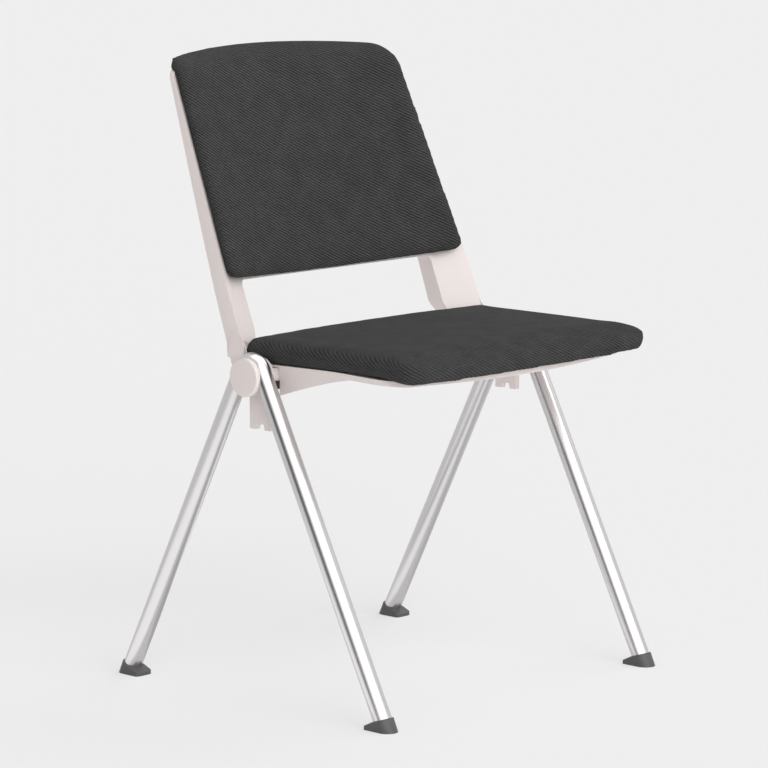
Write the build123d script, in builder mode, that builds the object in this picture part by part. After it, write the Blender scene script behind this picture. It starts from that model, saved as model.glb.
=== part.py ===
from build123d import *
import os
from math import atan2, cos, radians, sin, sqrt, tan

# Frame: millimetres, Z up, floor at Z = 0, the chair faces -Y, the sitter's right is -X.
# The origin lies on the floor between the four feet, straight under the hinge axis.
# Widths count out from the side of the seat and heights from the hinge axis, so pieces stay together.

# Fits
PLAY = 0.3
SLIP = 0.05
RUN = 0.05

# Hinge axis and side frames
PIVOT_Z = 437.5
TUBE_D = 25.0
TUBE_WALL = 2.0
FOOT_SPREAD = 243.5
BEND_R = 19.4
APEX_RISE = 42.9
TUBE_END_Z = 9.0

# Feet
FOOT_W = 28.5
FOOT_HEIGHT = 19.0
FOOT_WALL = 1.5
FOOT_REACH = 38.5
FOOT_TOE_HEIGHT = 4.5
FOOT_TOE_W = 15.0
FOOT_TOE_R = 6.0
FOOT_TAPER = 8.0
FOOT_HEEL_FLAT = 0.5
FOOT_PLUG = 26.0

# Seat pad
SEAT_HALF = 236.0
SEAT_REAR = 41.0
SEAT_FRONT = 267.0
SEAT_SIDE_FRONT = 256.0
SEAT_CORNER_R = 36.0
SEAT_OVER = 0.5
SEAT_RISE = 48.0
SEAT_SHOULDER = 15.0
SEAT_SHOULDER_DROP = 2.7
SEAT_SIDE_RISE = 28.5
SEAT_SIDE_IN = 3.0
SEAT_SIDE_LOW = 12.5
SEAT_LOW_BOW = 10.0
SEAT_ROLL_Y = -192.0
SEAT_NOSE_Y = -240.0
SEAT_NOSE_DROP = 6.9
SEAT_LIP_RISE = 15.5
SEAT_LIP_IN = 7.0
SEAT_LIP_LOW = 7.4
SEAT_LIP_MID_IN = 1.5
SEAT_LIP_MID = 9.8
SEAT_HEEL_IN = 3.0
SEAT_HEEL_RISE = 27.5
SEAT_REAR_RISE = 36.5
SEAT_REAR_IN = 11.0

# Line between the seat pad and the seat pan
PART_REAR_Y = 24.0
PART_REAR_RISE = 13.0
PART_FRONT_Y = -175.0
PART_FRONT_RISE = 17.1
KNEE_Y = -195.0
KNEE_RUN = (-1, 0.02)

# Seat pan
PAN_INSET = 5.0
PAN_SKIN = 2.7
PAN_RIM = 7.0
PAN_WALL = 3.0
PAN_REAR = 29.0
PAN_NOSE_Y = -250.0
PAN_NOSE_RISE = 8.1
PAN_SIDE_FRONT = 232.0
PAN_FRONT_R = 48.0
PAN_REAR_R = 10.0
WEB_REAR = 22.0
WEB_FRONT = 172.0
WEB_IN = 6.0
WEB_T = 3.0
WEB_DROP = 30.5
WEB_MID_Y = -110.0
WEB_MID_DROP = 7.5
WEB_FRONT_RISE = 12.5
WEB_SINK = 1.5
LUG_LENGTH = 8.0
LUG_TIP = 5.0
LUG_RISE = 11.5
LUG_IN = 1.0
BARREL_R = 16.0
BARREL_LENGTH = 39.5
BUSH_WALL = 1.5
FLANGE_R = 16.0
FLANGE_T = 2.2

# Seat board and its screws
SEAT_BOARD_T = 7.0
SEAT_BOARD_INSET = 22.0
SEAT_BOARD_R = 30.0
SEAT_BOARD_REAR = 6.0
SCREW_X = 150.0
SCREW_REAR_Y = -40.0
SCREW_FRONT_Y = -150.0
SCREW_R = 2.0
SCREW_HEAD_R = 4.5
SCREW_HEAD = 2.5
SCREW_REACH = 8.0
SCREW_HOLE = 5.5
SCREW_GAP = 0.15

# Arm plates and hubs of the back moulding
PLATE_GAP = 3.0
PLATE_T = 8.0
PLATE_DROP = 72.5
NOTCH_DEPTH = 7.5
NOTCH_HALF = 7.95
NOTCH_NARROW = 2.0
NOTCH_Y = -1.55
HUB_R = 17.5
HUB_LENGTH = 17.0
HUB_TOP = 9.5
HUB_BACK = 10.0
SPIGOT = 5.0

# End caps and clamps
CAP_D = 52.0
CAP_STAND = 5.0
CAP_DEPTH = 9.0
CAP_WALL = 2.5
CAP_FACE = 1.7
CAP_EDGE = 1.5
CLAMP_D = 46.0
WEDGE_R = 22.0
WEDGE_KEY = 4.0
BOLT_D = 6.0
BOLT_HEAD_D = 10.0
BOLT_HEAD = 6.0
BOLT_HEAD_PLAY = 0.2
BOLT_SINK = 9.0
BOLT_REACH = 26.0
BOLT_KEY_R = 2.5
BOLT_KEY_DEPTH = 3.0

# Cross tube
CROSS_D = 20.0
CROSS_WALL = 2.0
PLUG_LENGTH = 26.0

# Rubber stops
STOP_R = 5.5
STOP_Y = -16.2
STOP_DROP = 13.0

# Back: front and rear faces are cylinders with their own recline
BACK_RISE = 107.5
FRONT_Y = 71.9
FRONT_IN = 13.5
FRONT_RECLINE = 22.1
FRONT_R = 535.0
REAR_Y = 95.8
REAR_IN = 10.0
REAR_RECLINE = 19.4
REAR_R_MORE = 5.0
SHELL_WALL = 3.2
BOARD_T = 5.0
BACK_PAD_T = 17.0
PAD_CROWN = 60.0

# Outline of the back moulding seen from the front: heights above BACK_Z, widths in from the arm plates
ARM_W = 61.0
ARM_CURVE_DROP = 59.0
ARM_LOW_DROP = 89.0
ARM_LOW_IN = 27.0
ARM_BOW = 10.0
ARM_BOW_RISE = 12.0
FLARE_DROP = 88.0
FLARE_STEP = 9.0
FLARE_STEP_RISE = 17.0
ARM_TOP_IN = 10.5
ARM_TOP_DROP = 5.0
TOP_IN = 31.5
TOP_RISE = 281.0
TOP_BOW = 12.0
TOP_R = 15.0
WINDOW_RISE = 5.0
WINDOW_BOW = 6.0
WINDOW_R = 8.0
SWING_R = 61.5

# Outline of the back pad and of the board behind it
PAD_LOW_IN = 18.0
PAD_LOW_RISE = 12.0
PAD_LOW_BOW = 10.5
PAD_LOW_R = 13.0
PAD_TOP_IN = 35.0
PAD_TOP_RISE = 16.5
PAD_TOP_BOW = 10.0
PAD_TOP_R = 27.0
PAD_SPACE_OUT = 13.0
PAD_SPACE_DROP = 45.0
BOARD_LOW_IN = 10.0
BOARD_LOW_RISE = 11.0
BOARD_LOW_BOW = 11.0
BOARD_LOW_R = 10.0
BOARD_TOP_IN = 6.0
BOARD_TOP_DROP = 30.5
BOARD_TOP_BOW = 11.0
BOARD_TOP_R = 18.0
RIB_T = 3.0
RIB_PITCH = 120.0
RIB_MID_RISE = 155.0
RIB_RISE = 145.0
CLIP_R = 3.5
CLIP_BOSS = 3.0
CLIP_LOW_X = 180.0
CLIP_LOW_RISE = 55.0
CLIP_TOP_X = 170.0
CLIP_TOP_RISE = 195.0
CLIP_REACH = 3.6
CLIP_SET = 3.0

# Lengths that only have to reach past the part
REACH = 300.0
WIDE = 600.0
BACK_RUN = 800.0
BEHIND = 330.0
PAD_BEHIND = 360.0
WEDGE_RUN = 40.0
LONG_RUN = 400.0
RIB_SPAN = 500.0
FLARE_OUT = 23.0
HUB_ROOM = 40.0
BOARD_MID_Y = -78.0

# Widths that follow from the seat
PLATE_IN_X = SEAT_HALF + PLATE_GAP
PLATE_OUT_X = PLATE_IN_X + PLATE_T
FRAME_X = PLATE_OUT_X + TUBE_D / 2
HUB_IN_X = PLATE_IN_X - HUB_LENGTH
CAP_OUT_X = FRAME_X + TUBE_D / 2 + CAP_STAND
BARREL_OUT_X = HUB_IN_X - PLAY - FLANGE_T
BARREL_IN_X = BARREL_OUT_X - BARREL_LENGTH
PAN_HALF = SEAT_HALF - PAN_INSET
WEB_X = PAN_HALF - WEB_IN
FRONT_HALF = PLATE_OUT_X - FRONT_IN
REAR_HALF = PLATE_OUT_X - REAR_IN
REAR_R = FRONT_R + REAR_R_MORE
ARM_HALF_IN = PLATE_OUT_X - ARM_W

# Heights that follow from the hinge axis
SEAT_TOP = PIVOT_Z + SEAT_RISE
PART_REAR_Z = PIVOT_Z + PART_REAR_RISE
PART_FRONT_Z = PIVOT_Z + PART_FRONT_RISE
PLATE_Z = PIVOT_Z - PLATE_DROP
APEX_Z = PIVOT_Z + APEX_RISE
BACK_Z = PIVOT_Z + BACK_RISE

# Corners of the outlines seen from the front
FLARE = [
    (PLATE_OUT_X, BACK_Z - FLARE_DROP),
    (PLATE_OUT_X - FLARE_STEP, BACK_Z - FLARE_DROP + FLARE_STEP_RISE),
    (PLATE_OUT_X - ARM_TOP_IN, BACK_Z - ARM_TOP_DROP),
]
ARM_LOW_Z = BACK_Z - ARM_LOW_DROP
ARM_CURVE_Z = BACK_Z - ARM_CURVE_DROP
WINDOW_CORNER_Z = BACK_Z + WINDOW_RISE
TOP_CORNER = (PLATE_OUT_X - TOP_IN, BACK_Z + TOP_RISE)
TOP_MID_Z = TOP_CORNER[1] + TOP_BOW
PAD_LOW = (PLATE_OUT_X - PAD_LOW_IN, BACK_Z + PAD_LOW_RISE)
PAD_TOP = (PLATE_OUT_X - PAD_TOP_IN, TOP_CORNER[1] + PAD_TOP_RISE)
BOARD_LOW = (PAD_LOW[0] - BOARD_LOW_IN, PAD_LOW[1] + BOARD_LOW_RISE)
BOARD_TOP = (PAD_TOP[0] - BOARD_TOP_IN, PAD_TOP[1] - BOARD_TOP_DROP)
CLIP_SPOTS = [
    (-CLIP_TOP_X, BACK_Z + CLIP_TOP_RISE),
    (CLIP_TOP_X, BACK_Z + CLIP_TOP_RISE),
    (-CLIP_LOW_X, BACK_Z + CLIP_LOW_RISE),
    (CLIP_LOW_X, BACK_Z + CLIP_LOW_RISE),
]
SCREW_SPOTS = [
    (-SCREW_X, SCREW_REAR_Y),
    (SCREW_X, SCREW_REAR_Y),
    (-SCREW_X, SCREW_FRONT_Y),
    (SCREW_X, SCREW_FRONT_Y),
]

os.makedirs("parts", exist_ok=True)

leg_angle = atan2(FOOT_SPREAD, APEX_Z)
tube_r = TUBE_D / 2
bore_r = tube_r - TUBE_WALL
tube_end_y = FOOT_SPREAD * (1 - TUBE_END_Z / APEX_Z)


def side_plane(x):
    """Upright plane at width x; its first direction runs to the back, its second runs up."""
    return Plane(origin=(x, 0, 0), x_dir=(0, 1, 0), z_dir=(1, 0, 0))


def front_plane(y):
    """Upright plane at depth y; its first direction runs to the sitter's left, its normal to the front."""
    return Plane(origin=(0, y, 0), x_dir=(1, 0, 0), z_dir=(0, -1, 0))


def reclined_plane(y, recline):
    """Plane across a reclined face of the back, well below it; its second direction runs to the back."""
    lean = radians(recline)
    drop = REACH
    origin = (0, y - drop * sin(lean), BACK_Z - drop * cos(lean))
    return Plane(origin=origin, x_dir=(1, 0, 0), z_dir=(0, sin(lean), cos(lean)))


def parting(y):
    """Height of the line between the seat pad and the seat pan."""
    rise = (PART_FRONT_Z - PART_REAR_Z) / (PART_FRONT_Y - PART_REAR_Y)
    return PART_REAR_Z + rise * (y - PART_REAR_Y)


# Side frames: one bent tube each
with BuildPart() as side_frame_left:
    with BuildLine(side_plane(FRAME_X)) as leg_path:
        FilletPolyline(
            (-tube_end_y, TUBE_END_Z),
            (0, APEX_Z),
            (tube_end_y, TUBE_END_Z),
            radius=BEND_R,
        )
    leg_start = Plane(origin=leg_path.line @ 0, z_dir=leg_path.line % 0)
    with BuildSketch(leg_start):
        Circle(tube_r)
        Circle(bore_r, mode=Mode.SUBTRACT)
    sweep(path=leg_path.line)

with BuildPart() as side_frame_right:
    mirror(side_frame_left.part, about=Plane.YZ)


# Feet: a wedge whose outer wall follows the leg, with a socket and a plug for the tube
foot_out = FOOT_SPREAD + tube_r / cos(leg_angle) + FOOT_WALL
foot_toe = FOOT_SPREAD - FOOT_REACH
taper_y = FOOT_SPREAD - FOOT_TAPER
leg_up = (0, sin(leg_angle), cos(leg_angle))
with BuildPart() as foot_front_left:
    with BuildSketch(side_plane(FRAME_X - FOOT_W / 2)):
        with BuildLine():
            Polyline(
                (-foot_out, 0),
                (-foot_out + tan(leg_angle) * FOOT_HEIGHT, FOOT_HEIGHT),
                (-foot_toe, FOOT_TOE_HEIGHT),
                (-foot_toe, 0),
                close=True,
            )
        make_face()
    extrude(amount=FOOT_W)
    with BuildSketch(Plane.XY):
        with BuildLine():
            Polyline(
                (FRAME_X + FOOT_W / 2, -foot_out - FOOT_WALL),
                (FRAME_X + FOOT_W / 2, -taper_y),
                (FRAME_X + FOOT_TOE_W / 2, -foot_toe),
                (FRAME_X - FOOT_TOE_W / 2, -foot_toe),
                (FRAME_X - FOOT_W / 2, -taper_y),
                (FRAME_X - FOOT_W / 2, -foot_out - FOOT_WALL),
                close=True,
            )
        make_face()
    extrude(amount=2 * FOOT_HEIGHT, dir=(0, 0, 1), mode=Mode.INTERSECT)
    toe_edges = foot_front_left.faces().sort_by(Axis.Y)[-1].edges().filter_by(Axis.Z)
    fillet(toe_edges, FOOT_TOE_R)
    heel_edges = foot_front_left.faces().sort_by(Axis.Y)[0].edges().filter_by(Axis.X, reverse=True)
    fillet(heel_edges, (FOOT_W - FOOT_HEEL_FLAT) / 2)
    with BuildSketch(Plane(origin=(FRAME_X, -tube_end_y, TUBE_END_Z), z_dir=leg_up)):
        Circle(tube_r + SLIP)
    extrude(amount=REACH, mode=Mode.SUBTRACT)
    with BuildSketch(Plane(origin=(FRAME_X, -tube_end_y, TUBE_END_Z), z_dir=leg_up)):
        Circle(bore_r - SLIP)
    extrude(amount=FOOT_PLUG)

with BuildPart() as foot_rear_left:
    mirror(foot_front_left.part, about=Plane.XZ)
with BuildPart() as foot_front_right:
    mirror(foot_front_left.part, about=Plane.YZ)
with BuildPart() as foot_rear_right:
    mirror(foot_rear_left.part, about=Plane.YZ)


# Clamps: a disc over the top of the V with a wedge that fills the crotch and keys into the arm plate
tangent_r = BEND_R - tube_r - PLAY
tangent_y = tangent_r * cos(leg_angle)
tangent_z = tangent_r * sin(leg_angle)
side_run = WEDGE_RUN
wedge_low_y = tangent_y + side_run * sin(leg_angle)
wedge_low_z = tangent_z - side_run * cos(leg_angle)
tube_out_x = FRAME_X + tube_r + SLIP
clamp_out_x = CAP_OUT_X - CAP_FACE - PLAY
bolt_seat_x = clamp_out_x - BOLT_SINK
bolt_end_x = HUB_IN_X - BOLT_REACH

with BuildSketch(side_plane(PLATE_OUT_X - WEDGE_KEY)) as wedge_sketch:
    with Locations((0, PIVOT_Z)):
        Circle(WEDGE_R)
    with BuildLine(mode=Mode.PRIVATE) as wedge_line:
        left_side = Line((-wedge_low_y, PIVOT_Z + wedge_low_z), (-tangent_y, PIVOT_Z + tangent_z))
        crown = ThreePointArc(left_side @ 1, (0, PIVOT_Z + tangent_r), (tangent_y, PIVOT_Z + tangent_z))
        right_side = Line(crown @ 1, (wedge_low_y, PIVOT_Z + wedge_low_z))
        Line(right_side @ 1, left_side @ 0)
    make_face(wedge_line.edges(), mode=Mode.INTERSECT)

with BuildPart() as frame_clamps:
    add(wedge_sketch.sketch)
    extrude(amount=tube_out_x - PLATE_OUT_X + WEDGE_KEY, dir=(1, 0, 0))
    with BuildSketch(side_plane(tube_out_x)):
        with Locations((0, PIVOT_Z)):
            Circle(CLAMP_D / 2)
    extrude(amount=clamp_out_x - tube_out_x)
    with BuildSketch(side_plane(clamp_out_x)):
        with Locations((0, PIVOT_Z)):
            Circle(BOLT_D / 2 + PLAY)
    extrude(amount=-REACH / 5, mode=Mode.SUBTRACT)
    with BuildSketch(side_plane(clamp_out_x)):
        with Locations((0, PIVOT_Z)):
            Circle(BOLT_HEAD_D / 2 + BOLT_HEAD_PLAY)
    extrude(amount=bolt_seat_x - clamp_out_x, mode=Mode.SUBTRACT)
    mirror(about=Plane.YZ)


# Bolts: socket head in the clamp, shank through the arm plate into the plug of the cross tube
with BuildPart() as clamp_bolts:
    with BuildSketch(side_plane(bolt_end_x)):
        with Locations((0, PIVOT_Z)):
            Circle(BOLT_D / 2)
    extrude(amount=bolt_seat_x - bolt_end_x)
    with BuildSketch(side_plane(bolt_seat_x)):
        with Locations((0, PIVOT_Z)):
            Circle(BOLT_HEAD_D / 2)
    extrude(amount=BOLT_HEAD)
    with BuildSketch(side_plane(bolt_seat_x + BOLT_HEAD)):
        with Locations((0, PIVOT_Z)):
            RegularPolygon(radius=BOLT_KEY_R, side_count=6, major_radius=False)
    extrude(amount=-BOLT_KEY_DEPTH, mode=Mode.SUBTRACT)
    mirror(about=Plane.YZ)


# End caps: a round cover whose rim stops short of the tube, with a lug between the legs
rim_depth = CAP_OUT_X - tube_out_x - PLAY
with BuildPart() as end_caps:
    with BuildSketch(side_plane(CAP_OUT_X)):
        with Locations((0, PIVOT_Z)):
            Circle(CAP_D / 2)
    extrude(amount=-rim_depth)
    chamfer(end_caps.faces().sort_by(Axis.X)[-1].edges(), CAP_EDGE)
    with BuildSketch(side_plane(CAP_OUT_X - rim_depth)):
        with Locations((0, PIVOT_Z)):
            Circle(CAP_D / 2)
        make_face(wedge_line.edges(), mode=Mode.INTERSECT)
    extrude(amount=rim_depth - CAP_DEPTH)
    with BuildSketch(side_plane(CAP_OUT_X - CAP_DEPTH)):
        with Locations((0, PIVOT_Z)):
            Circle(CAP_D / 2 - CAP_WALL)
    extrude(amount=CAP_DEPTH - CAP_FACE, mode=Mode.SUBTRACT)
    mirror(about=Plane.YZ)


# Cross tube on the hinge axis, with a threaded plug in each end
cross_r = CROSS_D / 2
cross_bore = cross_r - CROSS_WALL
with BuildPart() as cross_tube:
    with BuildSketch(side_plane(-HUB_IN_X)):
        with Locations((0, PIVOT_Z)):
            Circle(cross_r)
            Circle(cross_bore, mode=Mode.SUBTRACT)
    extrude(amount=2 * HUB_IN_X)

plug_out_x = HUB_IN_X - SPIGOT - SLIP
with BuildPart() as end_plugs:
    with BuildSketch(side_plane(plug_out_x)):
        with Locations((0, PIVOT_Z)):
            Circle(cross_bore)
            Circle(BOLT_D / 2, mode=Mode.SUBTRACT)
    extrude(amount=-PLUG_LENGTH)
    mirror(about=Plane.YZ)


# Back: the band between the reclined front and rear faces, cut to the outline seen from the front
front_set = sqrt(FRONT_R**2 - FRONT_HALF**2)
rear_set = sqrt(REAR_R**2 - REAR_HALF**2)
front_cut = reclined_plane(FRONT_Y, FRONT_RECLINE)
rear_cut = reclined_plane(REAR_Y, REAR_RECLINE)


def back_face(plane, centre_y, radius):
    """Round bar that fills the space in front of a reclined face of the back."""
    with BuildPart() as bar:
        with BuildSketch(plane):
            with Locations((0, centre_y)):
                Circle(radius)
        extrude(amount=BACK_RUN)
    return bar.part


front_bar = back_face(front_cut, -front_set, FRONT_R)
rear_bar = back_face(rear_cut, -rear_set, REAR_R)
pocket_bar = back_face(rear_cut, -rear_set, REAR_R - SHELL_WALL)
board_bar = back_face(front_cut, -front_set, FRONT_R + BOARD_T)
pad_rear_bar = back_face(front_cut, -front_set, FRONT_R - PLAY)
crown_set = front_set + PAD_CROWN
crown_r = sqrt(crown_set**2 + FRONT_HALF**2) - BACK_PAD_T
pad_front_bar = back_face(front_cut, -crown_set, crown_r)

# Space for the key of each clamp in the arm plates
with BuildPart() as key_space:
    add(offset(wedge_sketch.sketch, amount=SLIP, mode=Mode.PRIVATE))
    extrude(amount=REACH / 5, dir=(1, 0, 0))

# Outline of the board inside the back, seen from the front
with BuildSketch() as board_outline:
    with BuildLine():
        Line((-BOARD_TOP[0], BOARD_TOP[1]), (-BOARD_LOW[0], BOARD_LOW[1]))
        ThreePointArc((-BOARD_LOW[0], BOARD_LOW[1]), (0, BOARD_LOW[1] - BOARD_LOW_BOW), BOARD_LOW)
        Line(BOARD_LOW, BOARD_TOP)
        ThreePointArc(BOARD_TOP, (0, BOARD_TOP[1] + BOARD_TOP_BOW), (-BOARD_TOP[0], BOARD_TOP[1]))
    make_face()
    fillet(vertices().group_by(Axis.Y)[-1], BOARD_TOP_R)
    fillet(vertices().group_by(Axis.Y)[0], BOARD_LOW_R)

with BuildPart() as clip_holes:
    for x, z in CLIP_SPOTS:
        with BuildSketch(front_plane(BEHIND)):
            with Locations((x, z)):
                Circle(CLIP_R)
        extrude(amount=REACH)
    add(back_face(front_cut, -front_set, FRONT_R + BOARD_T + CLIP_REACH + PLAY), mode=Mode.INTERSECT)
    add(back_face(front_cut, -front_set, FRONT_R + BOARD_T - CLIP_SET), mode=Mode.SUBTRACT)

clip_bar = back_face(front_cut, -front_set, FRONT_R + BOARD_T + CLIP_REACH)
clip_front_bar = back_face(front_cut, -front_set, FRONT_R + BOARD_T - CLIP_SET + SLIP)

# Pocket of the back moulding: open to the front, ribs and bosses end behind the board
with BuildPart() as pocket_ribs:
    with BuildSketch(front_plane(BEHIND)):
        for x in (-RIB_PITCH, 0, RIB_PITCH):
            with Locations((x, BACK_Z + RIB_MID_RISE)):
                Rectangle(RIB_T, LONG_RUN)
        with Locations((0, BACK_Z + RIB_RISE)):
            Rectangle(RIB_SPAN, RIB_T)
        for x, z in CLIP_SPOTS:
            with Locations((x, z)):
                Circle(CLIP_R + CLIP_BOSS)
    extrude(amount=REACH)
    add(board_bar, mode=Mode.SUBTRACT)
    add(clip_holes.part, mode=Mode.SUBTRACT)

with BuildPart() as pocket:
    with BuildSketch(front_plane(BEHIND)):
        add(offset(board_outline.sketch, amount=PLAY, mode=Mode.PRIVATE))
    extrude(amount=REACH, dir=(0, -1, 0))
    add(pocket_bar, mode=Mode.INTERSECT)
    add(pocket_ribs.part, mode=Mode.SUBTRACT)

arm_low_x = PLATE_OUT_X - ARM_LOW_IN
arm_bow_x = ARM_HALF_IN + ARM_BOW
arm_bow_z = ARM_LOW_Z + ARM_BOW_RISE
with BuildPart() as back_shell:
    with BuildSketch(front_plane(BEHIND)):
        with BuildLine():
            Polyline(
                (ARM_HALF_IN, WINDOW_CORNER_Z),
                (ARM_HALF_IN, ARM_CURVE_Z),
            )
            ThreePointArc((ARM_HALF_IN, ARM_CURVE_Z), (arm_bow_x, arm_bow_z), (arm_low_x, ARM_LOW_Z))
            Polyline((arm_low_x, ARM_LOW_Z), (PLATE_OUT_X, ARM_LOW_Z), *FLARE, TOP_CORNER)
            ThreePointArc(TOP_CORNER, (0, TOP_MID_Z), (-TOP_CORNER[0], TOP_CORNER[1]))
            Polyline(
                (-TOP_CORNER[0], TOP_CORNER[1]),
                *[(-x, z) for x, z in reversed(FLARE)],
                (-PLATE_OUT_X, ARM_LOW_Z),
                (-arm_low_x, ARM_LOW_Z),
            )
            ThreePointArc((-arm_low_x, ARM_LOW_Z), (-arm_bow_x, arm_bow_z), (-ARM_HALF_IN, ARM_CURVE_Z))
            Line((-ARM_HALF_IN, ARM_CURVE_Z), (-ARM_HALF_IN, WINDOW_CORNER_Z))
            ThreePointArc(
                (-ARM_HALF_IN, WINDOW_CORNER_Z),
                (0, WINDOW_CORNER_Z - WINDOW_BOW),
                (ARM_HALF_IN, WINDOW_CORNER_Z),
            )
        make_face()
        top_corners = vertices().group_by(Axis.Y)[-1]
        fillet(top_corners, TOP_R)
        window_corners = [v for v in vertices() if abs(v.Y - WINDOW_CORNER_Z) < 0.1]
        fillet(window_corners, WINDOW_R)
    extrude(amount=REACH)
    add(rear_bar, mode=Mode.INTERSECT)
    add(front_bar, mode=Mode.SUBTRACT)
    # Room for the rear edge of the seat as it swings down
    with BuildSketch(side_plane(-PLATE_IN_X + PLAY)):
        with Locations((0, PIVOT_Z)):
            Circle(SWING_R)
    extrude(amount=2 * (PLATE_IN_X - PLAY), mode=Mode.SUBTRACT)
    # Pocket behind the pad board, with ribs and clip bosses left standing
    add(pocket.part, mode=Mode.SUBTRACT)
    # Arm plates with the linking notch, hubs and spigots
    for side in (1, -1):
        with BuildSketch(side_plane(side * PLATE_IN_X)):
            with BuildLine():
                rear = Polyline(
                    (66.5, PIVOT_Z + 52.5),
                    (52.4, PIVOT_Z + 11.5),
                    (36, PIVOT_Z - 13.5),
                    (18, PIVOT_Z - 29.5),
                    (18, PLATE_Z),
                    (NOTCH_Y + NOTCH_HALF, PLATE_Z),
                )
                notch = Polyline(
                    rear @ 1,
                    (NOTCH_Y + NOTCH_HALF - NOTCH_NARROW, PLATE_Z + NOTCH_DEPTH),
                    (NOTCH_Y - NOTCH_HALF + NOTCH_NARROW, PLATE_Z + NOTCH_DEPTH),
                    (NOTCH_Y - NOTCH_HALF, PLATE_Z),
                )
                front = Polyline(notch @ 1, (-20, PLATE_Z), (-20, PIVOT_Z))
                nose = ThreePointArc(front @ 1, (-13.5, PIVOT_Z + 16.5), (3, PIVOT_Z + 23.5))
                rise = ThreePointArc(nose @ 1, (39, PIVOT_Z + 40.5), (57, PIVOT_Z + 74.5))
                Polyline(rise @ 1, (73.3, PIVOT_Z + 74.5), rear @ 0)
            make_face()
        extrude(amount=side * (PLATE_OUT_X - PLATE_IN_X))
        # Above the flare the plate leans in with the arm
        with BuildSketch(front_plane(REACH / 2)):
            with BuildLine():
                Polyline(
                    *[(side * x, z) for x, z in FLARE],
                    (side * (PLATE_OUT_X + FLARE_OUT), FLARE[2][1]),
                    (side * (PLATE_OUT_X + FLARE_OUT), FLARE[0][1]),
                    close=True,
                )
            make_face()
        extrude(amount=REACH * 2 / 3, dir=(0, -1, 0), mode=Mode.SUBTRACT)
        with BuildSketch(side_plane(side * HUB_IN_X)):
            with Locations((0, PIVOT_Z)):
                Circle(HUB_R)
            with Locations((0, PIVOT_Z + HUB_TOP)):
                Rectangle(2 * HUB_ROOM, HUB_ROOM, align=(Align.CENTER, Align.MIN), mode=Mode.SUBTRACT)
            with Locations((HUB_BACK, PIVOT_Z)):
                Rectangle(HUB_ROOM, 2 * HUB_ROOM, align=(Align.MIN, Align.CENTER), mode=Mode.SUBTRACT)
            with Locations((0, PIVOT_Z)):
                Rectangle(HUB_ROOM, HUB_ROOM, align=(Align.MIN, Align.MIN), mode=Mode.SUBTRACT)
                Circle(HUB_BACK)
            with Locations((STOP_Y, PIVOT_Z - STOP_DROP)):
                Circle(STOP_R, mode=Mode.SUBTRACT)
        extrude(amount=side * (PLATE_IN_X - HUB_IN_X))
        with BuildSketch(side_plane(side * HUB_IN_X)):
            with Locations((0, PIVOT_Z)):
                Circle(cross_bore - SLIP)
        extrude(amount=-side * SPIGOT)
        with BuildSketch(side_plane(side * PLATE_OUT_X)):
            with Locations((0, PIVOT_Z)):
                Circle(BOLT_D / 2 + PLAY)
        extrude(amount=-side * REACH / 5, mode=Mode.SUBTRACT)
    add(key_space.part, mode=Mode.SUBTRACT)
    mirror(key_space.part, about=Plane.YZ, mode=Mode.SUBTRACT)


# Back board, its clips and the pad in front of it
with BuildPart() as back_board:
    with BuildSketch(front_plane(BEHIND)):
        add(board_outline.sketch)
    extrude(amount=REACH)
    add(board_bar, mode=Mode.INTERSECT)
    add(front_bar, mode=Mode.SUBTRACT)
    add(clip_holes.part, mode=Mode.SUBTRACT)

with BuildPart() as back_clips:
    for x, z in CLIP_SPOTS:
        with BuildSketch(front_plane(BEHIND)):
            with Locations((x, z)):
                Circle(CLIP_R - SLIP)
        extrude(amount=REACH)
    add(clip_bar, mode=Mode.INTERSECT)
    add(clip_front_bar, mode=Mode.SUBTRACT)

# Everything behind the pad: the moulding and the board, up to the top edge that the pad wraps over
with BuildPart() as pad_space:
    with BuildSketch(front_plane(PAD_BEHIND)):
        with BuildLine():
            Polyline(
                (-TOP_CORNER[0], TOP_CORNER[1]),
                (-PLATE_OUT_X - PAD_SPACE_OUT, BACK_Z - PAD_SPACE_DROP),
                (PLATE_OUT_X + PAD_SPACE_OUT, BACK_Z - PAD_SPACE_DROP),
                TOP_CORNER,
            )
            ThreePointArc(TOP_CORNER, (0, TOP_MID_Z), (-TOP_CORNER[0], TOP_CORNER[1]))
        make_face()
        fillet(vertices().group_by(Axis.Y)[-1], TOP_R)
        offset(amount=PLAY)
    extrude(amount=LONG_RUN, dir=(0, -1, 0))
    add(pad_rear_bar, mode=Mode.SUBTRACT)

with BuildPart() as back_pad:
    with BuildSketch(front_plane(BEHIND)):
        with BuildLine():
            Line((-PAD_TOP[0], PAD_TOP[1]), (-PAD_LOW[0], PAD_LOW[1]))
            ThreePointArc((-PAD_LOW[0], PAD_LOW[1]), (0, PAD_LOW[1] - PAD_LOW_BOW), PAD_LOW)
            Line(PAD_LOW, PAD_TOP)
            ThreePointArc(PAD_TOP, (0, PAD_TOP[1] + PAD_TOP_BOW), (-PAD_TOP[0], PAD_TOP[1]))
        make_face()
        fillet(vertices().group_by(Axis.Y)[-1], PAD_TOP_R)
        fillet(vertices().group_by(Axis.Y)[0], PAD_LOW_R)
    extrude(amount=PAD_BEHIND)
    add(pad_space.part, mode=Mode.SUBTRACT)
    add(rear_bar, mode=Mode.INTERSECT)
    add(pad_front_bar, mode=Mode.SUBTRACT)


# Rubber stops: the webs of the seat rest on them, and the rear lugs reach them with the seat up
with BuildPart() as stop_bumpers:
    with BuildSketch(side_plane(HUB_IN_X + PLAY)):
        with Locations((STOP_Y, PIVOT_Z - STOP_DROP)):
            Circle(STOP_R)
    extrude(amount=PLATE_IN_X - HUB_IN_X - PLAY)
    mirror(about=Plane.YZ)


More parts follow.
